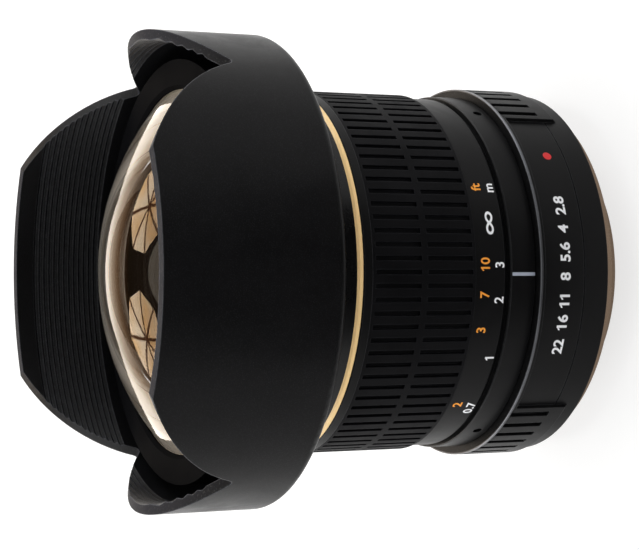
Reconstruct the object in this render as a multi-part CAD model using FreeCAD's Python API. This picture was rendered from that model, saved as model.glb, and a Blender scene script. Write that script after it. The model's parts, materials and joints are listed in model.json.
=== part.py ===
# Wide-angle prime lens with a fixed petal hood, in millimetres.
# The optical axis is Z and the front of the lens is up. z = 0 is the flange seat, the plane
# that rests against the camera. Angles are in degrees about Z, from the -Y side towards +X.
# The rings stand at the settings of the photograph: focus near 2.6 m, aperture at f/8.

import FreeCAD, Part
import math
import os
from collections import namedtuple

os.makedirs("parts", exist_ok=True)

Vector = FreeCAD.Vector
CENTRE = Vector(0, 0, 0)
UP = Vector(0, 0, 1)

# Clearances
turn_clearance = 0.05      # radial, a ring that turns on its sleeve
slide_clearance = 0.05     # radial, the focus cell in its guide bore
fixed_clearance = 0.03     # radial, pieces that are screwed or glued together
glass_clearance = 0.05     # radial, a lens in its cell
end_gap = 0.1              # axial, between a turning ring and its stop face
pin_clearance = 0.05       # radial, a pin in its hole or slot
cut_margin = 2.0           # how far a cutting shape runs past the surface that it cuts

# Radii of the barrel, from the bore that guides the focus cell outwards
guide_bore = 28.6
guide_wall = 2.0
guide_radius = guide_bore + guide_wall
rear_bore_step = 1.6
rear_bore = guide_bore - rear_bore_step
sleeve_step = 1.0
sleeve_radius = guide_radius + sleeve_step

# Bayonet that enters the camera
plate_thickness = 2.1
plate_overhang = 0.9
plate_radius = sleeve_radius + plate_overhang
bayonet_depth = 5.6
bayonet_radius = 25.0
bayonet_bore = 23.2
throat_radius = 22.2
throat_step_z = -3.2
lug_radius = 26.5
lug_thickness = 1.6
lug_root = 1.0             # how far a lug reaches into the bayonet's wall
lug_offset = 2.8           # from the flange seat to the lug's front face
lug_span = 55.0
lug_start = -47.0
lug_count = 3
lock_hole_radius = 1.4
lock_hole_depth = 1.2
lock_hole_angle = 90.0
mount_screw_inset = 2.4
mount_screw_circle = rear_bore + mount_screw_inset
mount_screw_count = 4
mount_screw_radius = 0.8
mount_screw_head = 1.6
mount_screw_recess = 0.05
mount_screw_length = 6.0

# Rear light baffle
baffle_thickness = 1.2
baffle_width = 30.0
baffle_height = 20.0
baffle_corner = 4.0

# Aperture ring
aperture_length = 14.4
aperture_wall = 2.9
aperture_radius = sleeve_radius + aperture_wall
lip_rise = 0.7
lip_radius = aperture_radius + lip_rise
lip_length = 1.0
lip_bevel = 0.2
raised_rise = 0.74
raised_radius = aperture_radius + raised_rise
raised_root = 0.5          # how far a raised field reaches into the ring
raised_start = 2.3         # from the ring's rear edge
raised_ramp = 0.8
knurl_pitch = 5.5
right_knurls = 19
right_start = 53.75
left_knurls = 20
left_end = -45.0
knurl_slot_width = 1.3
knurl_slot_rear = 5.9      # from the ring's rear edge
knurl_slot_front = 0.5     # from the ring's front edge
hairline_height = 4.9      # from the ring's rear edge
hairline_width = 0.25
hairline_depth = 0.2
stop_pitch = 7.25          # degrees between full stops
stop_count = 7
detent_radius = 0.8
detent_depth = 0.45

# Rear barrel, with the sleeves that both rings turn on
iris_seat_z = 20.0
joint_lip_length = 2.0
joint_lip_wall = 0.9

# Name and index ring
ring_seam = 0.3
index_length = 4.9
index_step = 0.8
index_bore = sleeve_radius + index_step
index_wall = 1.2
index_radius = index_bore + index_wall
index_lip_rise = 0.6
index_lip_radius = index_bore + index_lip_rise
index_lip_length = 0.6
index_screw_angles = [61.0, 180.0, -61.0]
index_screw_height = 2.0   # from the ring's rear edge
index_screw_radius = 0.8
index_screw_sink = 0.5
index_screw_length = 2.2

# Focus ring
scale_gap = 1.0
scale_neck_wall = 1.6
scale_neck_radius = guide_radius + scale_neck_wall
scale_length = 6.1
scale_rise = 0.9
scale_radius = scale_neck_radius + scale_rise
grip_length = 20.1
grip_seat_rise = 0.4
grip_seat_radius = scale_neck_radius + grip_seat_rise
grip_thickness = 1.1
grip_radius = grip_seat_radius + grip_thickness
rim_length = 1.7
rib_count = 88
rib_groove_width = 0.9
rib_groove_depth = 0.65
rib_rear_margin = 0.6
rib_front_margin = 0.6
rib_row_gap = 1.2
cam_seat_depth = 9.1       # from the focus ring's rear face to the cam ring's seat
cam_depth = 1.0
cam_radius = guide_radius + cam_depth
focus_to_infinity = 16.3   # degrees from the photographed setting
focus_to_near = 152.0
focus_travel = 3.5         # of the focus cell over the whole turn
follower_count = 3
follower_radius = 0.7
follower_z = 36.0
cam_slot_clearance = 0.1
cam_bore_clearance = 0.1   # radial, of the cam ring round the guide sleeve
cam_end_relief = 0.2       # radial, of the drilled hole at each end of a cam slot
stop_screw_radius = 0.9
stop_screw_height = 3.6    # from the focus ring's rear face
stop_screw_sink = 0.2
stop_groove_depth = 1.0

# Gold trim ring and the neck behind the hood
trim_length = 1.1
trim_bevel = 0.5
trim_seat_step = 1.4
trim_seat_radius = guide_radius + trim_seat_step
trim_wall = 1.6
trim_radius = trim_seat_radius + trim_wall
neck_length = 6.3
neck_rise = 1.5
neck_radius = trim_seat_radius + neck_rise
spigot_radius = trim_seat_radius
spigot_length = 5.2

# Hood
hood_length = 32.3
hood_radius = 43.5
hood_wall = 2.0
hood_plate = 2.5
hood_rear_round = 1.5
notch_round = 1.0
groove_count = 13          # of the light trap inside the petals
groove_pitch = 1.02
groove_depth = 0.45
groove_margin = 3.4        # from the petals' tips
clamp_length = 2.0
clamp_step = 4.0
clamp_radius = spigot_radius + clamp_step

# Edges of the petals, which are arcs. Their sizes are shares of the hood's radius, because
# a wider hood has to clear a wider view.
petal_side_radius = hood_radius * 0.6667      # long petals, seen along Y
petal_side_offset = hood_radius * 0.1724      # of the arc's centre from the middle
petal_side_drop = hood_radius * 0.5977        # of the arc's centre below the tips
side_petal_radius = hood_radius * 0.9264      # short petals, seen along X
side_petal_drop = hood_radius * 1.1839        # of the arc's centre below the tips

# Cells and rings that hold the glass
retainer_gap = 3.0         # from the retaining ring to the hood's inner wall
retainer_radius = hood_radius - hood_wall - retainer_gap
retainer_wall = 1.5
retainer_play = 0.1
retainer_top = 0.75
retainer_edge = 0.3
retainer_skirt = 5.5
cell_wall = 2.5
front_cell_head = retainer_radius - retainer_wall
front_rim = front_cell_head - cell_wall
second_inset = 3.6         # of the second group's rim from the guide bore
second_rim = guide_bore - second_inset
body_inset = 4.5
front_cell_body = second_rim - body_inset
third_rim = front_cell_body - cell_wall
nose_inset = 3.5
front_cell_nose = front_cell_body - nose_inset
fourth_rim = front_cell_nose - cell_wall
front_cell_lip = 1.2
front_cell_floor = 2.4
ring_wall = 0.9            # inner retaining and spacer rings
inner_ring_length = 1.4
focus_rim = 12.0
focus_tube_wall = 2.0
focus_cell_radius = focus_rim + focus_tube_wall
focus_cell_lip = 1.0
focus_cell_sleeve = 1.7
focus_cell_web = 2.5
focus_web_gap = 1.0        # from the followers to the web
focus_cell_length = 11.3
focus_ring_length = 1.2
rear_cell_radius = 17.0
rear_cell_lip = 1.1
rear_lip_play = 0.1
rear_cell_flange = 2.0
rear_cell_tail = 1.6       # below the rear lens's front seat

# Lever from the aperture ring to the iris, inside the rear bore
lever_angle = 180.0
lever_width = 3.0
lever_thickness = 2.4
lever_gap = 0.6
lever_radius = rear_bore - lever_thickness - lever_gap
lever_tail = 1.8           # below the drive screw
lever_play = 0.4

# Iris, from the lever inwards
iris_wall = 1.6
iris_ring_gap = 2.4
iris_ring_radius = lever_radius - iris_ring_gap - iris_wall
iris_ledge = 1.2
iris_chamber_radius = iris_ring_radius - iris_ledge
blade_pivot_inset = 3.3
blade_pivot_radius = iris_chamber_radius - blade_pivot_inset
blade_tab_radius = 1.5
blade_outer_radius = blade_pivot_radius - blade_tab_radius
blade_width = 5.3
blade_inner_radius = blade_outer_radius - blade_width
iris_clear_step = 0.2
iris_clear_radius = blade_inner_radius - iris_clear_step
blade_root_inset = 1.8
blade_root_radius = blade_outer_radius - blade_root_inset
blade_root_angle = -12.0
blade_count = 6
blade_span = 84.0
blade_thickness = 0.1
blade_spacing = 0.17
blade_close_angle = 28.5
blade_pin_radius = 0.5
drive_arm_length = 4.5
drive_arm_radius = 1.1
drive_arm_angle = 104.25   # of the arm when fully open
iris_plate_thickness = 1.5
iris_chamber_height = 1.25
pivot_hole_depth = 1.2
iris_ring_step = 0.8
iris_ring_bore = blade_inner_radius + iris_ring_step
iris_ring_thickness = 0.8
iris_tab_root = 5.0
iris_tab_window = 0.1
iris_cover_thickness = 0.8
iris_cover_width = 3.5
iris_cover_bore = iris_ring_radius - iris_cover_width
iris_screw_radius = 0.4
iris_screw_head = 0.75
iris_screw_head_height = 0.4
iris_screw_depth = 1.8
iris_lock_ring_wall = 1.6
iris_lock_ring_bore = guide_bore - iris_lock_ring_wall
iris_lock_ring_length = 1.5
drive_screw_height = 7.8   # from the aperture ring's rear edge
drive_screw_radius = 1.0
drive_screw_head = 1.8
drive_screw_head_height = 1.2
drive_screw_sink = 0.3

# Click stop of the aperture ring
click_angle = 90.0
click_height = 10.8        # from the aperture ring's rear edge
click_ball_radius = 0.8
click_play = 0.02
click_spring_thickness = 0.35
click_spring_width = 3.0
click_spring_span = 20.0
click_spring_play = 1.0    # degrees at each end

# Places along the axis, worked out from the lengths
aperture_z = plate_thickness + end_gap
aperture_top = aperture_z + aperture_length
index_z = aperture_top + ring_seam
index_top = index_z + index_length
focus_z = index_top + end_gap
scale_z = index_top + scale_gap
grip_z = scale_z + scale_length
rim_z = grip_z + grip_length
focus_top = rim_z + rim_length
trim_z = focus_top + end_gap
neck_z = trim_z + trim_length
hood_z = neck_z + neck_length
hood_top = hood_z + hood_length
spigot_top = hood_z + spigot_length

# Places of the lens groups' first vertices
front_recess = 5.9         # of the first group below the hood's tips
second_rise = 11.1         # of the second and third above the spigot's end
third_rise = 0.1
fourth_drop = 7.9
fifth_rise = 8.5           # of the focus groups above the followers
sixth_rise = 4.5
rear_drops = [1.0, 6.8, 11.4, 17.2]     # of the rear groups below the iris

# Lens groups. A surface has its radius, negative where its middle is hollow seen from the
# front, and the half width of its polished part. front is the height of its first vertex,
# gaps are the thicknesses on the axis, and rim is the ground edge's radius.
Group = namedtuple("Group", "front surfaces gaps rim")


def group(front, rim, surfaces, gaps):
    """A lens group whose surfaces are given as (radius as a share of the polished half
    width, how far that half width is inside the rim)."""
    sized = []
    for share, inset in surfaces:
        sized.append((share * (rim - inset), rim - inset))
    return Group(front, sized, gaps, rim)


front_groups = [
    group(hood_top - front_recess, front_rim, [(1.515, 1.5), (1.269, 8.5)], [4.0]),
    group(spigot_top + second_rise, second_rim, [(1.667, 1.0), (1.152, 8.5)], [2.5]),
    group(spigot_top + third_rise, third_rim, [(2.824, 1.0), (1.2, 5.5)], [1.8]),
    group(spigot_top - fourth_drop, fourth_rim, [(4.444, 1.0), (-3.333, 1.0), (-6.667, 1.0)],
          [4.5, 1.5]),
]
focus_groups = [
    group(follower_z + fifth_rise, focus_rim, [(4.091, 1.0), (-7.273, 1.0)], [3.0]),
    group(follower_z + sixth_rise, focus_rim, [(2.727, 1.0), (-2.727, 1.0), (5.455, 1.0)],
          [5.0, 1.3]),
]
rear_groups = [
    group(iris_seat_z - rear_drops[0], 11.0, [(4.0, 1.0), (-2.5, 1.0), (-10.0, 1.0)], [3.8, 1.2]),
    group(iris_seat_z - rear_drops[1], 12.0, [(5.0, 2.0), (-3.636, 1.0)], [3.2]),
    group(iris_seat_z - rear_drops[2], 13.0, [(-3.182, 2.0), (-3.333, 1.0), (-2.333, 1.0)],
          [1.2, 4.0]),
    group(iris_seat_z - rear_drops[3], 15.0, [(6.667, 3.0), (-14.286, 1.0)], [2.2]),
]


def turn(shape, degrees, centre=CENTRE):
    """A copy turned about an upright axis."""
    copy = shape.copy()
    copy.rotate(centre, UP, degrees)
    return copy


def around(shape, count, start=0.0):
    """Evenly spaced copies about the optical axis."""
    return [turn(shape, start + 360.0 * i / count) for i in range(count)]


def revolve_wire(wire, degrees=360.0):
    """Turn a closed outline in the -Y half plane about the optical axis."""
    solid = Part.Face(wire).revolve(CENTRE, UP, degrees)
    if solid.Volume < 0:
        solid.reverse()
    return solid


def revolve(outline, degrees=360.0):
    """Turn a closed outline of (radius, height) points about the optical axis."""
    corners = [Vector(0, -r, z) for r, z in outline]
    return revolve_wire(Part.makePolygon(corners + corners[:1]), degrees)


def ring(inner, outer, low, high):
    return revolve([(inner, low), (outer, low), (outer, high), (inner, high)])


def sector(inner, outer, low, high, start, end):
    """Part of a ring between two angles."""
    outline = [(inner, low), (outer, low), (outer, high), (inner, high)]
    return turn(revolve(outline, end - start), start)


def radial_pin(radius, inner, outer, z, angle):
    """A round bar that points away from the optical axis."""
    bar = Part.makeCylinder(radius, outer - inner, Vector(0, -inner, z), Vector(0, -1, 0))
    return turn(bar, angle)


def upright_pin(radius, low, high, from_axis, angle):
    return turn(Part.makeCylinder(radius, high - low, Vector(0, -from_axis, low)), angle)


def save(name, shape):
    shape.exportStep("parts/" + name + ".step")


def sag(radius, r):
    """How far a spherical surface falls at r from the axis. A hollow one rises."""
    return math.copysign(abs(radius) - math.sqrt(radius ** 2 - r ** 2), radius)


def vertices(group):
    """Heights of a group's surfaces on the axis, front first."""
    heights = [group.front]
    for gap in group.gaps:
        heights.append(heights[-1] - gap)
    return heights


def edges(group):
    """Heights of the flat rim beside each surface."""
    return [z - sag(radius, clear) for z, (radius, clear) in zip(vertices(group), group.surfaces)]


def cap_arc(z, radius, clear):
    """The arc of a surface, from the axis to the end of its polished part."""
    middle = Vector(0, -clear / 2, z - sag(radius, clear / 2))
    end = Vector(0, -clear, z - sag(radius, clear))
    return Part.Arc(Vector(0, 0, z), middle, end).toShape()


def glass(group):
    """The elements of a group, cemented where it has more than one."""
    heights = vertices(group)
    rims = edges(group)
    elements = []
    for i in range(len(group.gaps)):
        top_clear = group.surfaces[i][1]
        low_clear = group.surfaces[i + 1][1]
        rim_path = [Vector(0, -top_clear, rims[i]), Vector(0, -group.rim, rims[i]),
                    Vector(0, -group.rim, rims[i + 1]), Vector(0, -low_clear, rims[i + 1])]
        top = cap_arc(heights[i], *group.surfaces[i])
        low = cap_arc(heights[i + 1], *group.surfaces[i + 1])
        axis = Part.makeLine(Vector(0, 0, heights[i]), Vector(0, 0, heights[i + 1]))
        parts = [top] + Part.makePolygon(rim_path).Edges + [low, axis]
        elements.append(revolve_wire(Part.Wire(Part.__sortEdges__(parts))))
    return Part.makeCompound(elements)


def lug_outline():
    """Bayonet lug, with its front face towards the flange."""
    top = -lug_offset
    return sector(bayonet_radius - lug_root, lug_radius, top - lug_thickness, top, 0, lug_span)


def mount_bayonet():
    """Plate against the camera, its barrel with three lugs, and the screw and lock holes."""
    body = revolve([
        (throat_radius, plate_thickness), (throat_radius, throat_step_z),
        (bayonet_bore, throat_step_z), (bayonet_bore, -bayonet_depth),
        (bayonet_radius, -bayonet_depth), (bayonet_radius, 0),
        (plate_radius, 0), (plate_radius, plate_thickness)])
    lug = turn(lug_outline(), lug_start)
    body = body.fuse(around(lug, lug_count))
    holes = [mount_screw(pin_clearance, angle) for angle in mount_screw_places()]
    holes.append(upright_pin(lock_hole_radius, -cut_margin, lock_hole_depth,
                             mount_screw_circle, lock_hole_angle))
    return body.cut(holes)


def mount_screw_places():
    step = 360.0 / mount_screw_count
    return [step * (i + 0.5) for i in range(mount_screw_count)]


def mount_screw(play, angle):
    """Countersunk screw, or with play, the hole that it goes in."""
    head = mount_screw_head + play
    shank = mount_screw_radius + play
    low = mount_screw_recess if play == 0 else -cut_margin
    top = mount_screw_length + play
    cone = head - shank
    outline = [(0, low), (head, low), (head, mount_screw_recess),
               (shank, mount_screw_recess + cone), (shank, top), (0, top)]
    if play == 0:
        outline.remove((head, low))
    screw = revolve(outline)
    screw.translate(Vector(0, -mount_screw_circle, 0))
    return turn(screw, angle)


def rear_baffle():
    """Plate with a rounded opening, behind the rear lens."""
    plate = Part.makeCylinder(bayonet_bore - fixed_clearance, baffle_thickness,
                              Vector(0, 0, throat_step_z - baffle_thickness))
    opening = Part.makeBox(baffle_width, baffle_height, 3 * cut_margin,
                           Vector(-baffle_width / 2, -baffle_height / 2,
                                  throat_step_z - baffle_thickness - cut_margin))
    upright = [edge for edge in opening.Edges if abs(edge.tangentAt(0).z) > 0.9]
    return plate.cut(opening.makeFillet(baffle_corner, upright))


half_turn = stop_pitch * (stop_count - 1) / 2    # the aperture ring's travel each way
lever_sweep = half_turn + math.degrees((lever_width / 2 + lever_play) / lever_radius)
drive_z = aperture_z + drive_screw_height
click_z = aperture_z + click_height
click_ball_centre = sleeve_radius + turn_clearance - click_play - click_ball_radius
click_spring_outer = click_ball_centre - click_ball_radius - click_play


def rear_barrel():
    """Main body: the aperture ring's sleeve, the index ring's seat and the focus guide."""
    joint_bore = guide_bore + joint_lip_wall + fixed_clearance
    body = revolve([
        (rear_bore, plate_thickness), (sleeve_radius, plate_thickness),
        (sleeve_radius, index_z), (index_lip_radius, index_z),
        (index_lip_radius, index_z + index_lip_length), (index_bore, index_z + index_lip_length),
        (index_bore, index_top), (guide_radius, index_top), (guide_radius, trim_z),
        (joint_bore, trim_z), (joint_bore, trim_z - joint_lip_length),
        (guide_bore, trim_z - joint_lip_length), (guide_bore, iris_seat_z),
        (rear_bore, iris_seat_z)])
    cuts = [mount_screw(pin_clearance, angle) for angle in mount_screw_places()]
    for angle in index_screw_angles:
        cuts.append(index_screw(pin_clearance, angle))
    cuts.append(drive_slot())
    cuts.extend(guide_slots())
    cuts.append(stop_groove())
    cuts.append(radial_pin(click_ball_radius + pin_clearance, rear_bore,
                           sleeve_radius + cut_margin, click_z, click_angle))
    half_pocket = click_spring_span / 2 + click_spring_play
    cuts.append(sector(rear_bore - cut_margin, click_spring_outer + click_play,
                       click_z - click_spring_width / 2 - pin_clearance,
                       click_z + click_spring_width / 2 + pin_clearance,
                       click_angle - half_pocket, click_angle + half_pocket))
    return body.cut(cuts)


def drive_slot():
    """Slot round the back of the sleeve, which the aperture ring's drive screw runs in."""
    half = drive_screw_radius + pin_clearance * 2
    sweep = half_turn + math.degrees(half / rear_bore)
    return sector(rear_bore - cut_margin, sleeve_radius + cut_margin, drive_z - half,
                  drive_z + half, lever_angle - sweep, lever_angle + sweep)


def travel_at(degrees):
    """Focus cell's travel for a turn of the focus ring."""
    return focus_travel * degrees / (focus_to_infinity + focus_to_near)


def guide_slots():
    """Straight slots that keep the focus cell from turning."""
    half = follower_radius + pin_clearance
    low = follower_z + travel_at(-focus_to_infinity)
    high = follower_z + travel_at(focus_to_near)
    inner = guide_bore - cut_margin
    outer = guide_radius + cut_margin
    middle = Part.makeBox(2 * half, outer - inner, high - low, Vector(-half, -outer, low))
    ends = [radial_pin(half, inner, outer, z, 0) for z in (low, high)]
    return around(middle.fuse(ends), follower_count)


def stop_groove():
    """Groove in the guide whose ends stop the focus ring."""
    half = stop_screw_radius + pin_clearance * 2
    play = math.degrees(half / (guide_radius - stop_groove_depth))
    z = focus_z + stop_screw_height
    return sector(guide_radius - stop_groove_depth, guide_radius + cut_margin, z - half, z + half,
                  lever_angle - focus_to_infinity - play, lever_angle + focus_to_near + play)


def index_screw(play, angle):
    """Set screw of the index ring, or with play, its hole."""
    outer = index_radius - index_screw_sink
    inner = outer - index_screw_length - play
    if play > 0:
        outer = index_radius + cut_margin
    return radial_pin(index_screw_radius + play, inner, outer, index_z + index_screw_height, angle)


def index_ring():
    """Fixed ring with the index line. It seats on the lip of the rear barrel."""
    bore = index_bore + fixed_clearance
    lip_bore = index_lip_radius + fixed_clearance
    bevel = lip_bevel
    body = revolve([
        (lip_bore, index_z), (index_radius, index_z), (index_radius, index_top - bevel),
        (index_radius - bevel, index_top), (bore, index_top),
        (bore, index_z + index_lip_length), (lip_bore, index_z + index_lip_length)])
    return body.cut([index_screw(pin_clearance, angle) for angle in index_screw_angles])


def raised_field(start, knurls):
    """Raised grip on the aperture ring, from its rear ramp to the front lip."""
    low = aperture_z + raised_start
    high = aperture_top - lip_length
    inner = aperture_radius - raised_root
    outline = [(inner, low), (aperture_radius, low), (raised_radius, low + raised_ramp),
               (raised_radius, high), (inner, high)]
    return turn(revolve(outline, knurls * knurl_pitch), start)


def knurl_slots(start, knurls):
    """Slots between the grips of one raised field."""
    low = aperture_z + knurl_slot_rear
    high = aperture_top - knurl_slot_front
    depth = raised_radius - aperture_radius + cut_margin
    slot = Part.makeBox(knurl_slot_width, depth, high - low,
                        Vector(-knurl_slot_width / 2, -aperture_radius - depth, low))
    return [turn(slot, start + knurl_pitch * (i + 0.5)) for i in range(knurls)]


def aperture_ring():
    """Ring with two raised grip fields, the figures' field and the detents in its bore."""
    bore = sleeve_radius + turn_clearance
    body = revolve([
        (bore, aperture_z), (aperture_radius, aperture_z),
        (aperture_radius, aperture_top - lip_length), (lip_radius, aperture_top - lip_length),
        (lip_radius, aperture_top - lip_bevel), (lip_radius - lip_bevel, aperture_top),
        (bore, aperture_top)])
    left_start = left_end - left_knurls * knurl_pitch
    body = body.fuse([raised_field(right_start, right_knurls),
                      raised_field(left_start, left_knurls)])
    line_z = aperture_z + hairline_height
    cuts = [sector(aperture_radius - hairline_depth, aperture_radius + cut_margin,
                   line_z - hairline_width / 2, line_z + hairline_width / 2,
                   left_end, right_start)]
    cuts.extend(knurl_slots(right_start, right_knurls))
    cuts.extend(knurl_slots(left_start, left_knurls))
    detent_centre = bore + detent_depth - detent_radius
    for i in range(stop_count):
        ball = Part.makeSphere(detent_radius, Vector(0, -detent_centre, click_z))
        cuts.append(turn(ball, click_angle - half_turn + stop_pitch * i))
    cuts.append(drive_screw(pin_clearance))
    return body.cut(cuts)


def drive_screw(play):
    """Screw through the aperture ring that moves the iris lever, or with play, its hole."""
    head_top = aperture_radius - drive_screw_sink
    if play > 0:
        head_top = aperture_radius + cut_margin
    head_low = aperture_radius - drive_screw_sink - drive_screw_head_height
    tip = lever_radius - play
    shank = radial_pin(drive_screw_radius + play, tip, head_low, drive_z, lever_angle)
    head = radial_pin(drive_screw_head + play, head_low, head_top, drive_z, lever_angle)
    return shank.fuse(head)


def click_ball():
    return turn(Part.makeSphere(click_ball_radius, Vector(0, -click_ball_centre, click_z)),
                click_angle)


def click_spring():
    """Bent leaf behind the ball, which springs against the barrel's bore."""
    half = click_spring_span / 2
    return sector(click_spring_outer - click_spring_thickness, click_spring_outer,
                  click_z - click_spring_width / 2, click_z + click_spring_width / 2,
                  click_angle - half, click_angle + half)


def focus_ring():
    """Sleeve with the distance scale behind the rubber and a plain rim in front of it."""
    bore = guide_radius + turn_clearance
    cam_bore = cam_radius + fixed_clearance
    cam_z = focus_z + cam_seat_depth
    body = revolve([
        (bore, focus_z), (scale_neck_radius, focus_z), (scale_neck_radius, scale_z),
        (scale_radius, scale_z), (scale_radius, grip_z), (grip_seat_radius, grip_z),
        (grip_seat_radius, rim_z), (grip_radius, rim_z),
        (grip_radius, focus_top - lip_bevel), (grip_radius - lip_bevel, focus_top),
        (cam_bore, focus_top), (cam_bore, cam_z), (bore, cam_z)])
    return body.cut(focus_stop_screw(pin_clearance))


def focus_stop_screw(play):
    """Set screw whose tip runs in the stop groove, or with play, its hole."""
    tip = guide_radius - stop_groove_depth + stop_screw_sink
    outer = scale_radius - stop_screw_sink
    if play > 0:
        outer = scale_radius + cut_margin
    z = focus_z + stop_screw_height
    return radial_pin(stop_screw_radius + play, tip, outer, z, lever_angle)


def focus_grip():
    """Rubber with two rows of ribs and a plain band between them."""
    body = ring(grip_seat_radius + fixed_clearance, grip_radius, grip_z, rim_z)
    row_length = (grip_length - rib_rear_margin - rib_front_margin - rib_row_gap) / 2
    depth = rib_groove_depth + cut_margin
    groove = Part.makeBox(rib_groove_width, depth, row_length,
                          Vector(-rib_groove_width / 2, -grip_radius - cut_margin, 0))
    rear = groove.translated(Vector(0, 0, grip_z + rib_rear_margin))
    front = rear.translated(Vector(0, 0, row_length + rib_row_gap))
    return body.cut(around(rear, rib_count) + around(front, rib_count))


def helix_band(inner, outer, low, high, start, end, width):
    """Solid of one helical slot from (low, start) down in angle to (high, end)."""
    turns = (start - end) / 360.0
    pitch = (high - low) / turns
    lines = [Part.makeHelix(pitch, high - low, r, 0, True) for r in (inner, outer)]
    face = Part.makeRuledSurface(lines[0].Edges[0], lines[1].Edges[0])
    band = face.extrude(Vector(0, 0, width))
    if band.Volume < 0:
        band.reverse()
    band.translate(Vector(0, 0, low - width / 2))
    band.rotate(CENTRE, UP, start - 90.0)
    return band


def focus_cam():
    """Ring with three helical slots that lift the focus cell as it turns. Each slot is cut
    between two drilled holes that are a little wider than it. The ring is made of one
    sector for each slot, so that no face closes on itself and every face meshes cleanly."""
    span = 360.0 / follower_count
    first = sector(guide_radius + cam_bore_clearance, cam_radius, focus_z + cam_seat_depth,
                   focus_top - end_gap, 0, span)
    body = first.fuse(around(first, follower_count)[1:])
    half = follower_radius + cam_slot_clearance
    inner = guide_radius - cut_margin
    outer = cam_radius + cut_margin
    low = follower_z + travel_at(-focus_to_infinity)
    high = follower_z + travel_at(focus_to_near)
    slot = helix_band(inner, outer, low, high, focus_to_infinity, -focus_to_near, 2 * half)
    hole = half + cam_end_relief
    ends = [radial_pin(hole, inner, outer, low, focus_to_infinity),
            radial_pin(hole, inner, outer, high, -focus_to_near)]
    for shape in [slot] + ends:
        for copy in around(shape, follower_count):
            body = body.cut(copy)
    return body


def focus_followers():
    """Pins from the focus cell, through the guide slots and into the cam slots."""
    inner = guide_bore - slide_clearance - focus_cell_sleeve
    pin = radial_pin(follower_radius, inner, cam_radius - pin_clearance, follower_z, 0)
    return Part.makeCompound(around(pin, follower_count))


def focus_cell():
    """Sliding cell: a long sleeve in the guide bore and a tube for the glass, on a web."""
    outer = guide_bore - slide_clearance
    sleeve = outer - focus_cell_sleeve
    seat = edges(focus_groups[-1])[-1]
    low = seat - focus_cell_lip
    high = low + focus_cell_length
    web_low = follower_z + follower_radius + focus_web_gap
    bore = focus_groups[0].rim + glass_clearance
    lip_bore = focus_groups[-1].surfaces[-1][1]
    tube_top = edges(focus_groups[0])[0] + focus_ring_length
    body = revolve([
        (lip_bore, low), (focus_cell_radius, low), (focus_cell_radius, web_low),
        (sleeve, web_low), (sleeve, low), (outer, low), (outer, high), (sleeve, high),
        (sleeve, web_low + focus_cell_web), (focus_cell_radius, web_low + focus_cell_web),
        (focus_cell_radius, tube_top), (bore, tube_top), (bore, seat), (lip_bore, seat)])
    hole = radial_pin(follower_radius + pin_clearance, sleeve - cut_margin,
                      outer + cut_margin, follower_z, 0)
    return body.cut(around(hole, follower_count))


def trim_ring():
    """Gold ring with a bevelled front edge, held under the neck's shoulder."""
    bore = trim_seat_radius + fixed_clearance
    return revolve([
        (bore, trim_z), (trim_radius, trim_z), (trim_radius, neck_z - trim_bevel),
        (trim_radius - trim_bevel / 2, neck_z), (bore, neck_z)])


def front_barrel():
    """Neck behind the hood. Its lip enters the guide and its spigot carries the hood."""
    lip = guide_bore + joint_lip_wall
    return revolve([
        (guide_bore, trim_z - joint_lip_length), (lip, trim_z - joint_lip_length),
        (lip, trim_z), (trim_seat_radius, trim_z), (trim_seat_radius, neck_z),
        (neck_radius, neck_z), (neck_radius, hood_z), (spigot_radius, hood_z),
        (spigot_radius, spigot_top), (guide_bore, spigot_top)])


def radial_cut(height_at, start, end, steps):
    """Everything above a curve on the hood's wall, with its cut face square to the wall."""
    lines = []
    for radius in (hood_radius - hood_wall - cut_margin, hood_radius + cut_margin):
        points = []
        for i in range(steps + 1):
            angle = math.radians(start + (end - start) * i / steps)
            across = Vector(radius * math.sin(angle), -radius * math.cos(angle), 0)
            points.append(across + Vector(0, 0, height_at(angle)))
        curve = Part.BSplineCurve()
        curve.interpolate(points)
        lines.append(curve.toShape())
    return Part.makeRuledSurface(*lines).extrude(Vector(0, 0, hood_length))


def long_petal_height(angle):
    """Edge of a long petal at this angle from its middle."""
    across = abs(hood_radius * math.sin(angle)) - petal_side_offset
    return hood_top - petal_side_drop + math.sqrt(petal_side_radius ** 2 - across ** 2)


def short_petal_height(angle):
    """Edge of a short petal at this angle from the middle of a long one."""
    across = hood_radius * math.cos(angle)
    return hood_top - side_petal_drop + math.sqrt(side_petal_radius ** 2 - across ** 2)


def notch_angle():
    """Where the edges of a long and a short petal meet, found by halving."""
    low = math.radians(30.0)
    high = math.radians(60.0)
    for _ in range(50):
        middle = (low + high) / 2
        if long_petal_height(middle) > short_petal_height(middle):
            low = middle
        else:
            high = middle
    return math.degrees(low)


def light_trap():
    """V grooves round the inside of the petals, as one cutting shape."""
    inner = hood_radius - hood_wall
    top = hood_top - groove_margin
    outline = [(inner - cut_margin, top), (inner, top)]
    for i in range(groove_count):
        z = top - groove_pitch * i
        outline.append((inner + groove_depth, z - groove_pitch / 2))
        outline.append((inner, z - groove_pitch))
    outline.append((inner - cut_margin, top - groove_pitch * groove_count))
    return revolve(outline)


def round_notches(hood, angle):
    """Rounds the inner corners where a long and a short petal meet."""
    corners = []
    for edge in hood.Edges:
        start, end = edge.Vertexes[0].Point, edge.Vertexes[-1].Point
        across = Vector(end.x - start.x, end.y - start.y, 0)
        turned = math.degrees(math.atan2(abs(start.x), abs(start.y)))
        if abs(turned - angle) < 0.5 and abs(across.Length - hood_wall) < 0.1:
            corners.append(edge)
    return hood.makeFillet(notch_round, corners)


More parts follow.
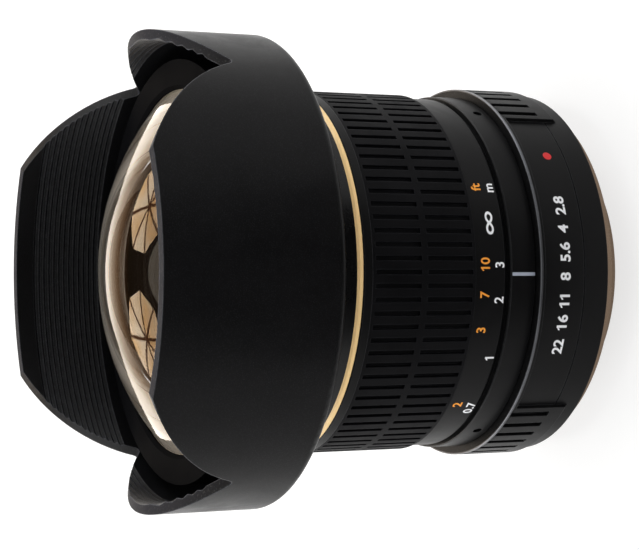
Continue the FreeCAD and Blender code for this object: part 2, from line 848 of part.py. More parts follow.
def petal_hood():
    """Tube with a rear plate, cut into two long and two short petals."""
    inner = hood_radius - hood_wall
    bore = spigot_radius + fixed_clearance
    body = revolve([
        (bore, hood_z), (hood_radius, hood_z), (hood_radius, hood_top), (inner, hood_top),
        (inner, hood_z + hood_plate), (bore, hood_z + hood_plate)])
    circles = [edge for edge in body.Edges if isinstance(edge.Curve, Part.Circle)]
    rear_edge = [edge for edge in circles
                 if abs(edge.Curve.Radius - hood_radius) < 0.01 and edge.Curve.Center.z < hood_z + 1]
    body = body.makeFillet(hood_rear_round, rear_edge)
    flat_rise = math.sqrt(petal_side_radius ** 2 - petal_side_drop ** 2)
    tip = math.degrees(math.asin((petal_side_offset + flat_rise) / hood_radius))
    notch = notch_angle()
    side = radial_cut(long_petal_height, tip, notch, 8)
    mirrored = side.mirror(CENTRE, Vector(1, 0, 0))
    top = radial_cut(short_petal_height, notch, 180.0 - notch, 16)
    cuts = []
    for cut in (side, mirrored, top):
        cuts.extend(around(cut, 2))
    return round_notches(body.cut(cuts), notch).cut(light_trap())


def hood_clamp_ring():
    low = hood_z + hood_plate
    return ring(spigot_radius + fixed_clearance, clamp_radius, low, low + clamp_length)


def front_cell():
    """Stepped cell for the fixed front groups. Each seat faces the front."""
    seats = [edges(group)[-1] for group in front_groups]
    bores = [group.rim + glass_clearance for group in front_groups]
    lip_bore = front_groups[3].surfaces[-1][1]
    low = seats[3] - front_cell_lip
    floor = seats[1] - front_cell_floor
    step = seats[2] - front_cell_floor
    outer = guide_bore - fixed_clearance
    top = edges(front_groups[0])[0] - end_gap
    return revolve([
        (lip_bore, low), (front_cell_nose, low), (front_cell_nose, step),
        (front_cell_body, step), (front_cell_body, floor), (outer, floor),
        (outer, spigot_top), (front_cell_head, spigot_top), (front_cell_head, top),
        (bores[0], top), (bores[0], seats[0]), (bores[1], seats[0]), (bores[1], seats[1]),
        (bores[2], seats[1]), (bores[2], seats[2]), (bores[3], seats[2]),
        (bores[3], seats[3]), (lip_bore, seats[3])])


def front_retaining_ring():
    """Black ring round the front element, screwed on the outside of the cell."""
    seat = edges(front_groups[0])[0]
    bore = front_groups[0].surfaces[0][1] + retainer_play
    skirt = front_cell_head + fixed_clearance
    return revolve([
        (bore, seat), (skirt, seat), (skirt, seat - retainer_skirt),
        (retainer_radius, seat - retainer_skirt), (retainer_radius, seat + retainer_top),
        (bore + retainer_top, seat + retainer_top), (bore, seat + retainer_edge)])


def inner_ring(group, low, high):
    """Retaining or spacer ring on a group's flat rim."""
    return ring(group.rim - ring_wall, group.rim, low, high)


def rear_cell():
    """Stepped tube for the fixed rear groups, on a flange. Each seat faces the rear."""
    seats = [edges(group)[0] for group in rear_groups]
    bores = [group.rim + glass_clearance for group in rear_groups]
    lip_bore = rear_groups[0].surfaces[0][1] + rear_lip_play
    low = seats[3] - rear_cell_tail
    flange = rear_bore - fixed_clearance
    flange_top = plate_thickness + rear_cell_flange
    return revolve([
        (bores[3], low), (rear_cell_radius, low), (rear_cell_radius, plate_thickness),
        (flange, plate_thickness), (flange, flange_top), (rear_cell_radius, flange_top),
        (rear_cell_radius, seats[0] + rear_cell_lip), (lip_bore, seats[0] + rear_cell_lip),
        (lip_bore, seats[0]), (bores[0], seats[0]), (bores[0], seats[1]), (bores[1], seats[1]),
        (bores[1], seats[2]), (bores[2], seats[2]), (bores[2], seats[3]),
        (bores[3], seats[3])])


def rear_spacers():
    """Rings between the rear groups."""
    spacers = []
    for front, back in zip(rear_groups[:-1], rear_groups[1:]):
        spacers.append(inner_ring(front, edges(back)[0], edges(front)[-1]))
    return Part.makeCompound(spacers)


chamber_z = iris_seat_z + iris_plate_thickness
iris_ring_z = chamber_z + iris_chamber_height + pin_clearance
cover_z = iris_ring_z + iris_ring_thickness + end_gap
iris_outer = iris_ring_radius + iris_wall
iris_screw_circle = iris_ring_radius + iris_wall / 2


def iris_base():
    """Plate with six pivot holes, a wall round the blades and windows for the lever."""
    outer = guide_bore - fixed_clearance
    body = revolve([
        (iris_clear_radius, iris_seat_z), (outer, iris_seat_z), (outer, chamber_z),
        (iris_outer, chamber_z), (iris_outer, cover_z), (iris_ring_radius, cover_z),
        (iris_ring_radius, chamber_z + iris_chamber_height),
        (iris_chamber_radius, chamber_z + iris_chamber_height),
        (iris_chamber_radius, chamber_z), (iris_clear_radius, chamber_z)])
    hole = upright_pin(blade_pin_radius + pin_clearance, chamber_z - pivot_hole_depth,
                       chamber_z + cut_margin / 4, blade_pivot_radius, 0)
    cuts = around(hole, blade_count)
    cuts.append(sector(lever_radius - lever_play, lever_radius + lever_thickness + lever_play,
                       iris_seat_z - cut_margin, chamber_z + cut_margin,
                       lever_angle - lever_sweep, lever_angle + lever_sweep))
    tab_sweep = half_turn + math.degrees((lever_width / 2 + lever_play) / iris_ring_radius)
    cuts.append(sector(iris_ring_radius - iris_tab_window, iris_outer + cut_margin,
                       chamber_z + iris_chamber_height, cover_z + cut_margin,
                       lever_angle - tab_sweep, lever_angle + tab_sweep))
    cuts.extend(iris_screw_set(pin_clearance))
    return body.cut(cuts)


def iris_screw_set(play):
    """Three screws of the iris cover, or with play, their holes."""
    top = cover_z + iris_cover_thickness
    low = cover_z - iris_screw_depth - play
    shank = upright_pin(iris_screw_radius + play, low, top, iris_screw_circle, 0)
    if play == 0:
        head = upright_pin(iris_screw_head, top, top + iris_screw_head_height,
                           iris_screw_circle, 0)
        shank = shank.fuse(head)
    return around(shank, 3)


def iris_cover():
    """Flat ring that keeps the cam ring and the blades in the base."""
    body = ring(iris_cover_bore, iris_outer, cover_z, cover_z + iris_cover_thickness)
    return body.cut(iris_screw_set(pin_clearance))


def drive_pin_place(open_to_closed):
    """Drive pin of the first blade, by its share of the way from open to closed."""
    arm = math.radians(drive_arm_angle - blade_close_angle * open_to_closed)
    return Vector(blade_pivot_radius + drive_arm_length * math.cos(arm),
                  drive_arm_length * math.sin(arm), 0)


def iris_cam_ring():
    """Slotted ring that swings the blades, with a tab to the lever."""
    top = iris_ring_z + iris_ring_thickness
    body = ring(iris_ring_bore, iris_ring_radius - turn_clearance, iris_ring_z, top)
    tab_end = lever_radius + lever_thickness
    tab = Part.makeBox(lever_width, tab_end - iris_ring_bore - iris_tab_root, iris_ring_thickness,
                       Vector(-lever_width / 2, -tab_end, iris_ring_z))
    body = body.fuse(turn(tab, lever_angle))
    width = blade_pin_radius + pin_clearance
    lines = []
    places = []
    steps = 10
    for i in range(steps + 1):
        share = i / steps
        ring_angle = half_turn * (2 * share - 1)
        place = drive_pin_place(share)
        places.append(turn(Part.Vertex(place), -ring_angle).Point)
    for side in (-1, 1):
        points = []
        for place in places:
            outward = Vector(place.x, place.y, 0).normalize()
            points.append(place + outward * side * width + Vector(0, 0, iris_ring_z - cut_margin))
        curve = Part.BSplineCurve()
        curve.interpolate(points)
        lines.append(curve.toShape())
    slot = Part.makeRuledSurface(*lines).extrude(Vector(0, 0, 2 * cut_margin + iris_ring_thickness))
    ends = [Part.makeCylinder(width, 2 * cut_margin + iris_ring_thickness,
                              place + Vector(0, 0, iris_ring_z - cut_margin))
            for place in (places[0], places[-1])]
    cuts = []
    for shape in [slot] + ends:
        cuts.extend(around(shape, blade_count, -90.0))
    return body.cut(cuts)


def iris_lever():
    """Bar from the cam ring's tab down to the drive screw."""
    low = drive_z - lever_tail
    bar = Part.makeBox(lever_width, lever_thickness, iris_ring_z - low,
                       Vector(-lever_width / 2, -lever_radius - lever_thickness, low))
    return turn(bar, lever_angle).cut(drive_screw(pin_clearance))


def capsule(start, end, radius, low):
    """Flat bar with round ends, one blade thick."""
    along = end - start
    angle = math.degrees(math.atan2(along.y, along.x))
    bar = Part.makeBox(along.Length, 2 * radius, blade_thickness, Vector(0, -radius, 0))
    bar.rotate(CENTRE, UP, angle)
    bar.translate(start)
    ends = [Part.makeCylinder(radius, blade_thickness, place) for place in (start, end)]
    shape = bar.fuse(ends)
    shape.translate(Vector(0, 0, low))
    return shape


def iris_blade(index):
    """Crescent with a pivot pin below and a drive pin above, in its own layer."""
    low = chamber_z + blade_spacing - blade_thickness / 2 + blade_spacing * index
    high = low + blade_thickness
    pivot = Vector(blade_pivot_radius, 0, 0)
    crescent = sector(blade_inner_radius, blade_outer_radius, low, high,
                      90.0 - blade_span, 90.0 + blade_root_angle)
    root = math.radians(blade_root_angle)
    root_place = Vector(blade_root_radius * math.cos(root), blade_root_radius * math.sin(root), 0)
    drive = drive_pin_place(0)
    pieces = [
        capsule(root_place, pivot, blade_tab_radius, low),
        capsule(pivot, drive, drive_arm_radius, low),
        Part.makeCylinder(blade_pin_radius, high - (chamber_z - pivot_hole_depth + pin_clearance),
                          pivot + Vector(0, 0, chamber_z - pivot_hole_depth + pin_clearance)),
        Part.makeCylinder(blade_pin_radius, iris_ring_z + iris_ring_thickness - low,
                          drive + Vector(0, 0, low)),
    ]
    blade = crescent.fuse(pieces).removeSplitter()
    resting = turn(blade, -blade_close_angle / 2, pivot)
    return turn(resting, -90.0 + 360.0 * index / blade_count)


save("mount_bayonet", mount_bayonet())
save("mount_screws", Part.makeCompound([mount_screw(0, a) for a in mount_screw_places()]))
save("rear_baffle", rear_baffle())
save("rear_barrel", rear_barrel())
save("aperture_ring", aperture_ring())
save("drive_screw", drive_screw(0))
save("click_ball", click_ball())
save("click_spring", click_spring())
save("index_ring", index_ring())
save("index_screws", Part.makeCompound([index_screw(0, a) for a in index_screw_angles]))
save("focus_ring", focus_ring())
save("focus_grip", focus_grip())
save("focus_cam", focus_cam())
save("focus_stop_screw", focus_stop_screw(0))
save("focus_followers", focus_followers())
save("focus_cell", focus_cell())
save("trim_ring", trim_ring())
save("front_barrel", front_barrel())
save("petal_hood", petal_hood())
save("hood_clamp_ring", hood_clamp_ring())
save("front_cell", front_cell())
save("front_retaining_ring", front_retaining_ring())
save("rear_cell", rear_cell())
save("rear_spacers", rear_spacers())

# Glass, numbered from the front
all_groups = front_groups + focus_groups + rear_groups
for number, group in enumerate(all_groups, 1):
    save("lens_group_" + str(number), glass(group))

# Rings that hold the inner front groups
second, third, fourth = front_groups[1:]
second_top = edges(second)[0]
third_top = edges(third)[0]
save("lens_2_ring", inner_ring(second, second_top, second_top + inner_ring_length))
save("lens_3_ring", inner_ring(third, third_top, third_top + inner_ring_length))
save("lens_4_spacer", inner_ring(fourth, edges(fourth)[0], edges(third)[-1]))

# Rings in the focus cell
fifth, sixth = focus_groups
fifth_top = edges(fifth)[0]
save("focus_spacer", inner_ring(fifth, edges(sixth)[0], edges(fifth)[-1]))
save("focus_retaining_ring", inner_ring(fifth, fifth_top, fifth_top + focus_ring_length))

# Ring behind the last group
last = rear_groups[-1]
last_rear = edges(last)[-1]
save("rear_retaining_ring", inner_ring(last, last_rear - ring_wall, last_rear))

# Iris
save("iris_base", iris_base())
save("iris_cover", iris_cover())
save("iris_screws", Part.makeCompound(iris_screw_set(0)))
save("iris_cam_ring", iris_cam_ring())
save("iris_lever", iris_lever())
save("iris_lock_ring", ring(iris_lock_ring_bore, guide_bore - fixed_clearance, chamber_z,
                            chamber_z + iris_lock_ring_length))
for index in range(blade_count):
    save("iris_blade_" + str(index + 1), iris_blade(index))
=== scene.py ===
# %% [markdown]
# Wide-angle prime lens: the dressing of a finished model
#
# The hard pieces of this lens, its rings, hood, glass, iris and focus cam, come from the
# CAD model as a fixed frame. This lesson gives them their finishes, paints the figures on
# the rings, and lights the lens as a product photographer would. Each step first says what
# the real piece is, how Blender could make it, and why one way was chosen.

# %% Load the frame
import json
import math

import bmesh
import bpy
from mathutils import Matrix, Vector


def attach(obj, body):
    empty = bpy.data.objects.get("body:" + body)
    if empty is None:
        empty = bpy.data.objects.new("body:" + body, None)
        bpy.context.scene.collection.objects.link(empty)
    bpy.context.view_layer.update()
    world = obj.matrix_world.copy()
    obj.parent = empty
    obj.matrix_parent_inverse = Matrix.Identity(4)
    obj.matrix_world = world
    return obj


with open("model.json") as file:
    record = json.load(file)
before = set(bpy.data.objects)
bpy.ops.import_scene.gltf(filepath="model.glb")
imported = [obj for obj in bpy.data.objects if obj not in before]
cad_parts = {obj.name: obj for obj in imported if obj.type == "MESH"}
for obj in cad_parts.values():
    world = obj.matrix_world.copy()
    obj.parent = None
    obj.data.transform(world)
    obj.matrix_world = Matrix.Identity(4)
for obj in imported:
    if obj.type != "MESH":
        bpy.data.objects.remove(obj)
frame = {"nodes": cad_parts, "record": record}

MM = 0.001
WELD = 0.001 * MM
scene = bpy.context.scene
nodes = frame["nodes"]
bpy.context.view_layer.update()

# %% [markdown]
# The camera
#
# The photograph looks down at the front of the lens from a little to one side, with the
# picture turned so that the lens's front points left. A camera could be aimed by hand, but
# here its place was solved from the outlines of the rings, so it is written as a matrix:
# image right is down the lens, image up is the lens's +X. The lens of the camera is long,
# because the rings hardly change in size from front to back.

# %% Camera
TILT = math.radians(24.57)
FOCAL_PIXELS = 1912.0
IMAGE_WIDTH, IMAGE_HEIGHT = 639, 550
CENTRE_ROW = 271.99
CAMERA_PLACE_MM = (0, -326.65, 193.01)

camera_data = bpy.data.cameras.new("Camera")
camera_data.sensor_fit = "HORIZONTAL"
camera_data.sensor_width = 36.0
camera_data.lens = FOCAL_PIXELS * camera_data.sensor_width / IMAGE_WIDTH
camera_data.shift_y = (CENTRE_ROW - IMAGE_HEIGHT / 2) / IMAGE_WIDTH
camera_data.clip_start, camera_data.clip_end = 0.01, 20.0
camera = bpy.data.objects.new("Camera", camera_data)
scene.collection.objects.link(camera)
sin_tilt, cos_tilt = math.sin(TILT), math.cos(TILT)
camera.matrix_world = Matrix.Translation(Vector(CAMERA_PLACE_MM) * MM) @ Matrix((
    (0, 1, 0),
    (-sin_tilt, 0, -cos_tilt),
    (-cos_tilt, 0, sin_tilt),
)).to_4x4()
scene.camera = camera
scene.view_settings.view_transform = "Standard"
print("camera lens:", round(camera_data.lens, 2), "mm, shift", round(camera_data.shift_y, 5))

# %% [markdown]
# A short way to write shader nodes
#
# A node tree can be clicked together or written. Written trees get long, so one helper
# makes a node, sets its options and fills or links its inputs in one call. Another makes a
# node group with named sockets, because an effect that many finishes share, such as worn
# edges, is built once and then placed in each material with its own values.

# %% Node helpers
def add(tree, kind, inputs=None, **options):
    """Adds a node, sets its options, and fills or links its inputs."""
    node = tree.nodes.new(kind)
    for name, value in options.items():
        setattr(node, name, value)
    for name, value in (inputs or {}).items():
        if isinstance(value, bpy.types.NodeSocket):
            tree.links.new(value, node.inputs[name])
        else:
            node.inputs[name].default_value = value
    return node


def math_node(tree, operation, *values, clamp=False):
    """Adds a Math node and returns its output."""
    node = add(tree, "ShaderNodeMath", dict(enumerate(values)), operation=operation,
               use_clamp=clamp)
    return node.outputs[0]


def blend_colours(tree, factor, first, second):
    """Mixes two colours by a mask and returns the output."""
    node = add(tree, "ShaderNodeMix", {0: factor, 6: first, 7: second}, data_type="RGBA")
    return node.outputs[2]


def remap(tree, value, low, high, to_low=0.0, to_high=1.0):
    """Maps a range of a mask onto another and returns the output."""
    node = add(tree, "ShaderNodeMapRange", {0: value, 1: low, 2: high, 3: to_low, 4: to_high})
    return node.outputs[0]


def new_group(name, inputs, outputs):
    """Starts a shader node group with float inputs and the outputs named with their types."""
    tree = bpy.data.node_groups.new(name, "ShaderNodeTree")
    for label, value in inputs.items():
        socket = tree.interface.new_socket(label, in_out="INPUT", socket_type="NodeSocketFloat")
        socket.default_value = value
    for label, kind in outputs.items():
        tree.interface.new_socket(label, in_out="OUTPUT", socket_type="NodeSocket" + kind)
    entry = tree.nodes.new("NodeGroupInput")
    leave = tree.nodes.new("NodeGroupOutput")
    return tree, entry.outputs, leave.inputs


def place_group(tree, group, **values):
    """Places a group in a material; underscores in the value names stand for spaces."""
    node = add(tree, "ShaderNodeGroup", node_tree=group)
    for name, value in values.items():
        node.inputs[name.replace("_", " ")].default_value = value
    return node.outputs


def new_material(name):
    """Starts a material and returns it with its empty node tree."""
    material = bpy.data.materials.new(name)
    material.use_nodes = True
    material.node_tree.nodes.clear()
    return material, material.node_tree


def colour(red, green, blue):
    """Turns a colour as it is seen on a screen, 0 to 255, into the linear values nodes use."""
    linear = [((c / 255 + 0.055) / 1.055) ** 2.4 if c > 10 else c / 3294.6
              for c in (red, green, blue)]
    return (*linear, 1.0)


print("node helpers ready")

# %% [markdown]
# Shared effect 1: the grain of a coat
#
# Anodised metal, hood paint and moulded plastic all have a fine grain: tiny bumps a few
# hundredths of a millimetre across, with larger, softer clouds where the coat is a little
# thicker. Two noise textures on Object coordinates give both, and a Voronoi texture adds
# single specks. As the coordinates are in metres, the grain keeps its real size on every
# piece.

# %% Group: coat grain
CLOUDS_PER_METRE = 140.0
grain_group, source, sink = new_group(
    "coat_grain", {"Grain mm": 0.15}, {"Height": "Float", "Cloud": "Float", "Speck": "Float"})
place = add(grain_group, "ShaderNodeTexCoord").outputs["Object"]
per_metre = math_node(grain_group, "DIVIDE", 1000.0, source["Grain mm"])
fine = add(grain_group, "ShaderNodeTexNoise",
           {"Vector": place, "Scale": per_metre, "Detail": 3.0, "Roughness": 0.65}).outputs[0]
cloud = add(grain_group, "ShaderNodeTexNoise", {
    "Vector": place, "Scale": CLOUDS_PER_METRE, "Detail": 4.0, "Roughness": 0.6}).outputs[0]
specks = add(grain_group, "ShaderNodeTexVoronoi",
             {"Vector": place, "Scale": per_metre, "Randomness": 1.0})
grain_group.links.new(fine, sink["Height"])
grain_group.links.new(remap(grain_group, cloud, 0.3, 0.7), sink["Cloud"])
grain_group.links.new(remap(grain_group, specks.outputs["Distance"], 0.34, 0.12), sink["Speck"])
print("group:", grain_group.name)

# %% [markdown]
# Shared effect 2: turning marks
#
# The rings are turned on a lathe, which leaves fine rings round the axis. A wave texture
# would repeat too evenly. Instead a noise is read at (radius, height) and hardly at all
# along the way round, so that it draws circles of uneven depth, and the same group serves
# flat faces, cones and cylinders, since the lens's axis is the frame's Z axis.

# %% Group: turning marks
CHANGE_ALONG_A_MARK = 60.0
turning_group, source, sink = new_group(
    "turning_marks", {"Pitch mm": 0.12}, {"Height": "Float", "Tone": "Float"})
place = add(turning_group, "ShaderNodeTexCoord").outputs["Object"]
axes = add(turning_group, "ShaderNodeSeparateXYZ", {0: place}).outputs
radius = math_node(turning_group, "SQRT", math_node(
    turning_group, "ADD",
    math_node(turning_group, "MULTIPLY", axes[0], axes[0]),
    math_node(turning_group, "MULTIPLY", axes[1], axes[1])))
lines = math_node(turning_group, "DIVIDE", 1000.0, source["Pitch mm"])
across = add(turning_group, "ShaderNodeCombineXYZ", {
    0: math_node(turning_group, "MULTIPLY", radius, lines),
    1: math_node(turning_group, "MULTIPLY", axes[2], lines),
    2: math_node(turning_group, "MULTIPLY", axes[0], CHANGE_ALONG_A_MARK)}).outputs[0]
marks = add(turning_group, "ShaderNodeTexNoise",
            {"Vector": across, "Scale": 1.0, "Detail": 3.0, "Roughness": 0.6}).outputs[0]
turning_group.links.new(marks, sink["Height"])
turning_group.links.new(remap(turning_group, marks, 0.35, 0.65), sink["Tone"])
print("group:", turning_group.name)

# %% [markdown]
# Shared effect 3: edges with wear and a painted highlight
#
# A real edge is never sharp: it is broken by a small chamfer, which catches a thin bright
# line of light, and the coat wears off there first. Bevelling every CAD edge would add
# many faces. The Bevel node rounds only the shading, and where its normal differs from the
# face's own there must be an edge, which gives the mask. Through that mask each finish lays
# a lighter colour on its edges, which is partly wear and partly a painted highlight for the
# line of light. Noise breaks it up.

# %% Group: edges with wear and a painted highlight
FLAT_COSINE, WORN_COSINE = 0.995, 0.86
edge_group, source, sink = new_group(
    "worn_and_highlit_edges", {"Width mm": 0.2, "Breakup": 0.5}, {"Mask": "Float", "Normal": "Vector"})
width = math_node(edge_group, "MULTIPLY", source["Width mm"], MM)
rounded = add(edge_group, "ShaderNodeBevel", {"Radius": width}, samples=4).outputs[0]
true_normal = add(edge_group, "ShaderNodeNewGeometry").outputs["Normal"]
agree = add(edge_group, "ShaderNodeVectorMath", {0: rounded, 1: true_normal},
            operation="DOT_PRODUCT").outputs["Value"]
edge = remap(edge_group, agree, FLAT_COSINE, WORN_COSINE)
place = add(edge_group, "ShaderNodeTexCoord").outputs["Object"]
patches = add(edge_group, "ShaderNodeTexNoise",
              {"Vector": place, "Scale": 900.0, "Detail": 4.0, "Roughness": 0.7}).outputs[0]
broken = remap(edge_group, patches, 0.38, 0.62)
kept = math_node(edge_group, "SUBTRACT", 1.0, math_node(
    edge_group, "MULTIPLY", source["Breakup"], math_node(edge_group, "SUBTRACT", 1.0, broken)))
edge_group.links.new(math_node(edge_group, "MULTIPLY", edge, kept, clamp=True), sink["Mask"])
edge_group.links.new(rounded, sink["Normal"])
print("group:", edge_group.name)

# %% [markdown]
# Shared effect 4: handling
#
# A lens is held in the hand, so its coat has faint smudges that change only its gloss, and
# dust that settles on what faces up. Both are soft masks: a distorted noise for smudges,
# and for dust a fine noise held back to upward faces by the normal's Z. A third mask marks
# the faces that look straight up, which the hood's cut edges do; the hood uses it for a
# rougher gloss and for a painted highlight in its colour.

# %% Group: handling
MOTES_PER_METRE = 2600.0
handling_group, source, sink = new_group(
    "handling", {"Smudge size mm": 9.0},
    {"Smudge": "Float", "Dust": "Float", "Upward": "Float"})
place = add(handling_group, "ShaderNodeTexCoord").outputs["Object"]
smudges = add(handling_group, "ShaderNodeTexNoise", {
    "Vector": place,
    "Scale": math_node(handling_group, "DIVIDE", 1000.0, source["Smudge size mm"]),
    "Detail": 5.0, "Roughness": 0.62, "Distortion": 0.7}).outputs[0]
motes = add(handling_group, "ShaderNodeTexNoise",
            {"Vector": place, "Scale": MOTES_PER_METRE, "Detail": 2.0}).outputs[0]
normal = add(handling_group, "ShaderNodeNewGeometry").outputs["Normal"]
upward = add(handling_group, "ShaderNodeSeparateXYZ", {0: normal}).outputs[2]
settled = math_node(handling_group, "MULTIPLY", remap(handling_group, motes, 0.58, 0.72),
                    remap(handling_group, upward, 0.1, 0.9))
handling_group.links.new(remap(handling_group, smudges, 0.35, 0.7), sink["Smudge"])
handling_group.links.new(settled, sink["Dust"])
handling_group.links.new(remap(handling_group, upward, 0.85, 0.98), sink["Upward"])
print("group:", handling_group.name)

# %% [markdown]
# One recipe for the opaque finishes
#
# Black anodised, painted, plated and moulded surfaces differ in their values more than in
# their build: a base colour that clouds a little, specks, an edge that turns to another
# colour, partly as wear and partly as a painted highlight, a painted highlight on faces that
# look straight up, gloss that smudges, and a bump from grain and turning marks. One function
# writes that tree and each finish names its own values. Values that are the same all over go
# straight onto the Principled shader's sockets.

# %% Opaque finish recipe
DUST_TONE = colour(150, 148, 144)
ROUGHER_CUT_FACE = 0.35
GRAIN_IN_GLOSS = 0.08


def finish(name, base, rough, *, metallic=0.0, specular=0.5, cloud=0.15, speck=0.0,
           speck_colour=colour(120, 120, 122), grain=0.15, grain_depth=0.004,
           turning=0.12, turning_depth=0.0, turning_tone=0.0, edge=0.2,
           edge_colour=colour(90, 90, 92), edge_wear_and_highlight=0.3, smudge=0.06,
           dust=0.0, rim=0.0, upward_highlight_colour=colour(96, 98, 104), anisotropic=0.0):
    """Makes an opaque material from the shared groups; sizes are in millimetres."""
    material, tree = new_material(name)
    coat_grain = place_group(tree, grain_group, Grain_mm=grain)
    marks_out = place_group(tree, turning_group, Pitch_mm=turning)
    worn_and_lit = place_group(tree, edge_group, Width_mm=edge)
    hands = place_group(tree, handling_group)

    darker = tuple(c * (1 - cloud) for c in base[:3]) + (1.0,)
    lighter = tuple(min(1.0, c * (1 + cloud)) for c in base[:3]) + (1.0,)
    tint = blend_colours(tree, coat_grain["Cloud"], darker, lighter)
    # Of these layers, the Upward mask with its rim amount paints a painted highlight on faces
    # that look straight up, and the edge mask paints a colour that is partly wear and partly a
    # painted highlight.
    layers = ((marks_out["Tone"], turning_tone, lighter),
              (coat_grain["Speck"], speck, speck_colour),
              (hands["Upward"], rim, upward_highlight_colour),
              (hands["Dust"], dust, DUST_TONE),
              (worn_and_lit["Mask"], edge_wear_and_highlight, edge_colour))
    for mask, amount, layer_colour in layers:
        if amount:
            strength = math_node(tree, "MULTIPLY", mask, amount)
            tint = blend_colours(tree, strength, tint, layer_colour)

    gloss = remap(tree, hands["Smudge"], 0.0, 1.0, rough - smudge, rough + smudge)
    if rim:
        gloss = math_node(tree, "ADD", gloss, math_node(
            tree, "MULTIPLY", hands["Upward"], ROUGHER_CUT_FACE))
    gloss = math_node(tree, "ADD", gloss, math_node(
        tree, "MULTIPLY", math_node(tree, "SUBTRACT", coat_grain["Height"], 0.5),
        GRAIN_IN_GLOSS), clamp=True)

    normal_out = worn_and_lit["Normal"]
    for depth, bumps in ((grain_depth, coat_grain), (turning_depth, marks_out)):
        if depth:
            normal_out = add(tree, "ShaderNodeBump", {
                "Strength": 1.0, "Distance": depth * MM,
                "Height": bumps["Height"], "Normal": normal_out}).outputs[0]

    shader = add(tree, "ShaderNodeBsdfPrincipled", {
        "Base Color": tint, "Roughness": gloss, "Metallic": metallic,
        "Specular IOR Level": specular, "Anisotropic": anisotropic, "Normal": normal_out})
    add(tree, "ShaderNodeOutputMaterial", {"Surface": shader.outputs[0]})
    return material


print("opaque recipe ready")

# %% [markdown]
# Black metal and paint
#
# The rings are satin black anodised aluminium with faint turning marks, and the hood has a
# matte, slightly rough paint with pale specks in its colour and a fine grain whose bumps
# catch grazing light. The hood's cut faces, which look straight up, get a lighter, bluish
# tint that is a painted highlight. On all of these finishes the edges turn lighter, partly
# as wear and partly as a painted highlight. What is inside the barrel is duller, to keep
# stray light down.

# %% Black finishes
black_anodised = finish(
    "Black anodised ring", colour(17, 17, 18), 0.40, specular=0.08, cloud=0.12,
    grain=0.12, grain_depth=0.002, turning=0.10, turning_depth=0.0012, turning_tone=0.25,
    edge=0.18, edge_colour=colour(104, 106, 110), smudge=0.05, dust=0.08)
# The rim amount and colour paint a lighter, bluish tint on the hood's upward cut faces: a
# painted highlight.
hood_coat = finish(
    "Hood paint", colour(16, 16, 17), 0.36, specular=0.08, speck=0.18,
    speck_colour=colour(84, 85, 90), grain=0.22, grain_depth=0.010, edge=0.30,
    edge_colour=colour(140, 142, 148), edge_wear_and_highlight=0.5, dust=0.10,
    rim=0.75, upward_highlight_colour=colour(34, 35, 41))
neck_gloss = finish(
    "Polished neck", colour(12, 12, 13), 0.30, specular=0.2, cloud=0.1, grain=0.3,
    grain_depth=0.0006, turning=0.10, turning_depth=0.0008, turning_tone=0.2, edge=0.15,
    edge_colour=colour(90, 90, 94))
inner_black = finish(
    "Inner black", colour(9, 9, 10), 0.75, specular=0.01, grain=0.18, grain_depth=0.006,
    turning=0.3, turning_depth=0.004, turning_tone=0.5, edge=0.12,
    edge_colour=colour(48, 48, 50), edge_wear_and_highlight=0.2)
baffle_plastic = finish(
    "Baffle plastic", colour(13, 13, 14), 0.7, specular=0.12, grain=0.3, grain_depth=0.01,
    edge=0.15, edge_colour=colour(60, 60, 62), edge_wear_and_highlight=0.2)
print("black finishes: 5")

# %% [markdown]
# Rubber grip
#
# The grip is a moulded rubber sleeve: duller than the metal, with a dry, finely pitted
# skin, lighter along the edges of its ribs, partly where fingers rub them and partly as a
# painted highlight, and dust in the grooves.

# %% Rubber
grip_rubber = finish(
    "Grip rubber", colour(13, 13, 15), 0.58, specular=0.05, cloud=0.25, speck=0.12,
    speck_colour=colour(56, 56, 60), grain=0.14, grain_depth=0.012,
    edge_colour=colour(58, 59, 64), edge_wear_and_highlight=0.45, smudge=0.08, dust=0.10)
print("rubber:", grip_rubber.name)

# %% [markdown]
# Bright metals
#
# The mount is chromed brass: a warm silver that shows its turning marks. The trim ring is
# gold anodised aluminium, whose colour looks the same from every side, so it is made nearly
# like paint. The cam and its followers are bare brass, the screws are blackened, and the
# iris blades are blackened spring steel with a faint rolling grain.

# %% Bright finishes
# The lighter edge colours of these metals are partly wear and partly a painted highlight.
mount_metal = finish(
    "Chromed mount", colour(118, 101, 86), 0.30, metallic=1.0, cloud=0.05, grain=0.3,
    grain_depth=0.0006, turning=0.09, turning_depth=0.0022, turning_tone=0.35, edge=0.15,
    edge_colour=colour(176, 160, 144), edge_wear_and_highlight=0.5, smudge=0.08, anisotropic=0.4)
gold_trim = finish(
    "Gold trim", colour(255, 214, 148), 0.42, metallic=0.05, cloud=0.05, grain=0.2,
    grain_depth=0.001, turning=0.1, turning_depth=0.001, turning_tone=0.3, edge=0.1,
    edge_colour=colour(255, 226, 170), edge_wear_and_highlight=0.5, smudge=0.04)
cam_brass = finish(
    "Machined brass", colour(196, 160, 96), 0.3, metallic=1.0, cloud=0.08, grain=0.3,
    grain_depth=0.0006, turning=0.08, turning_depth=0.002, turning_tone=0.4, edge=0.1,
    edge_colour=colour(232, 202, 140), edge_wear_and_highlight=0.5)
screw_steel = finish(
    "Screw steel", colour(46, 46, 48), 0.36, metallic=0.9, cloud=0.1, grain=0.1,
    grain_depth=0.001, turning=0.06, turning_depth=0.001, edge=0.08,
    edge_colour=colour(150, 150, 154), edge_wear_and_highlight=0.6)
blade_steel = finish(
    "Blade steel", colour(34, 34, 36), 0.45, metallic=0.8, grain=0.1,
    grain_depth=0.001, turning=0.15, turning_depth=0.001, turning_tone=0.3, edge=0.06,
    edge_colour=colour(110, 112, 116), edge_wear_and_highlight=0.5)
print("bright finishes: 5")

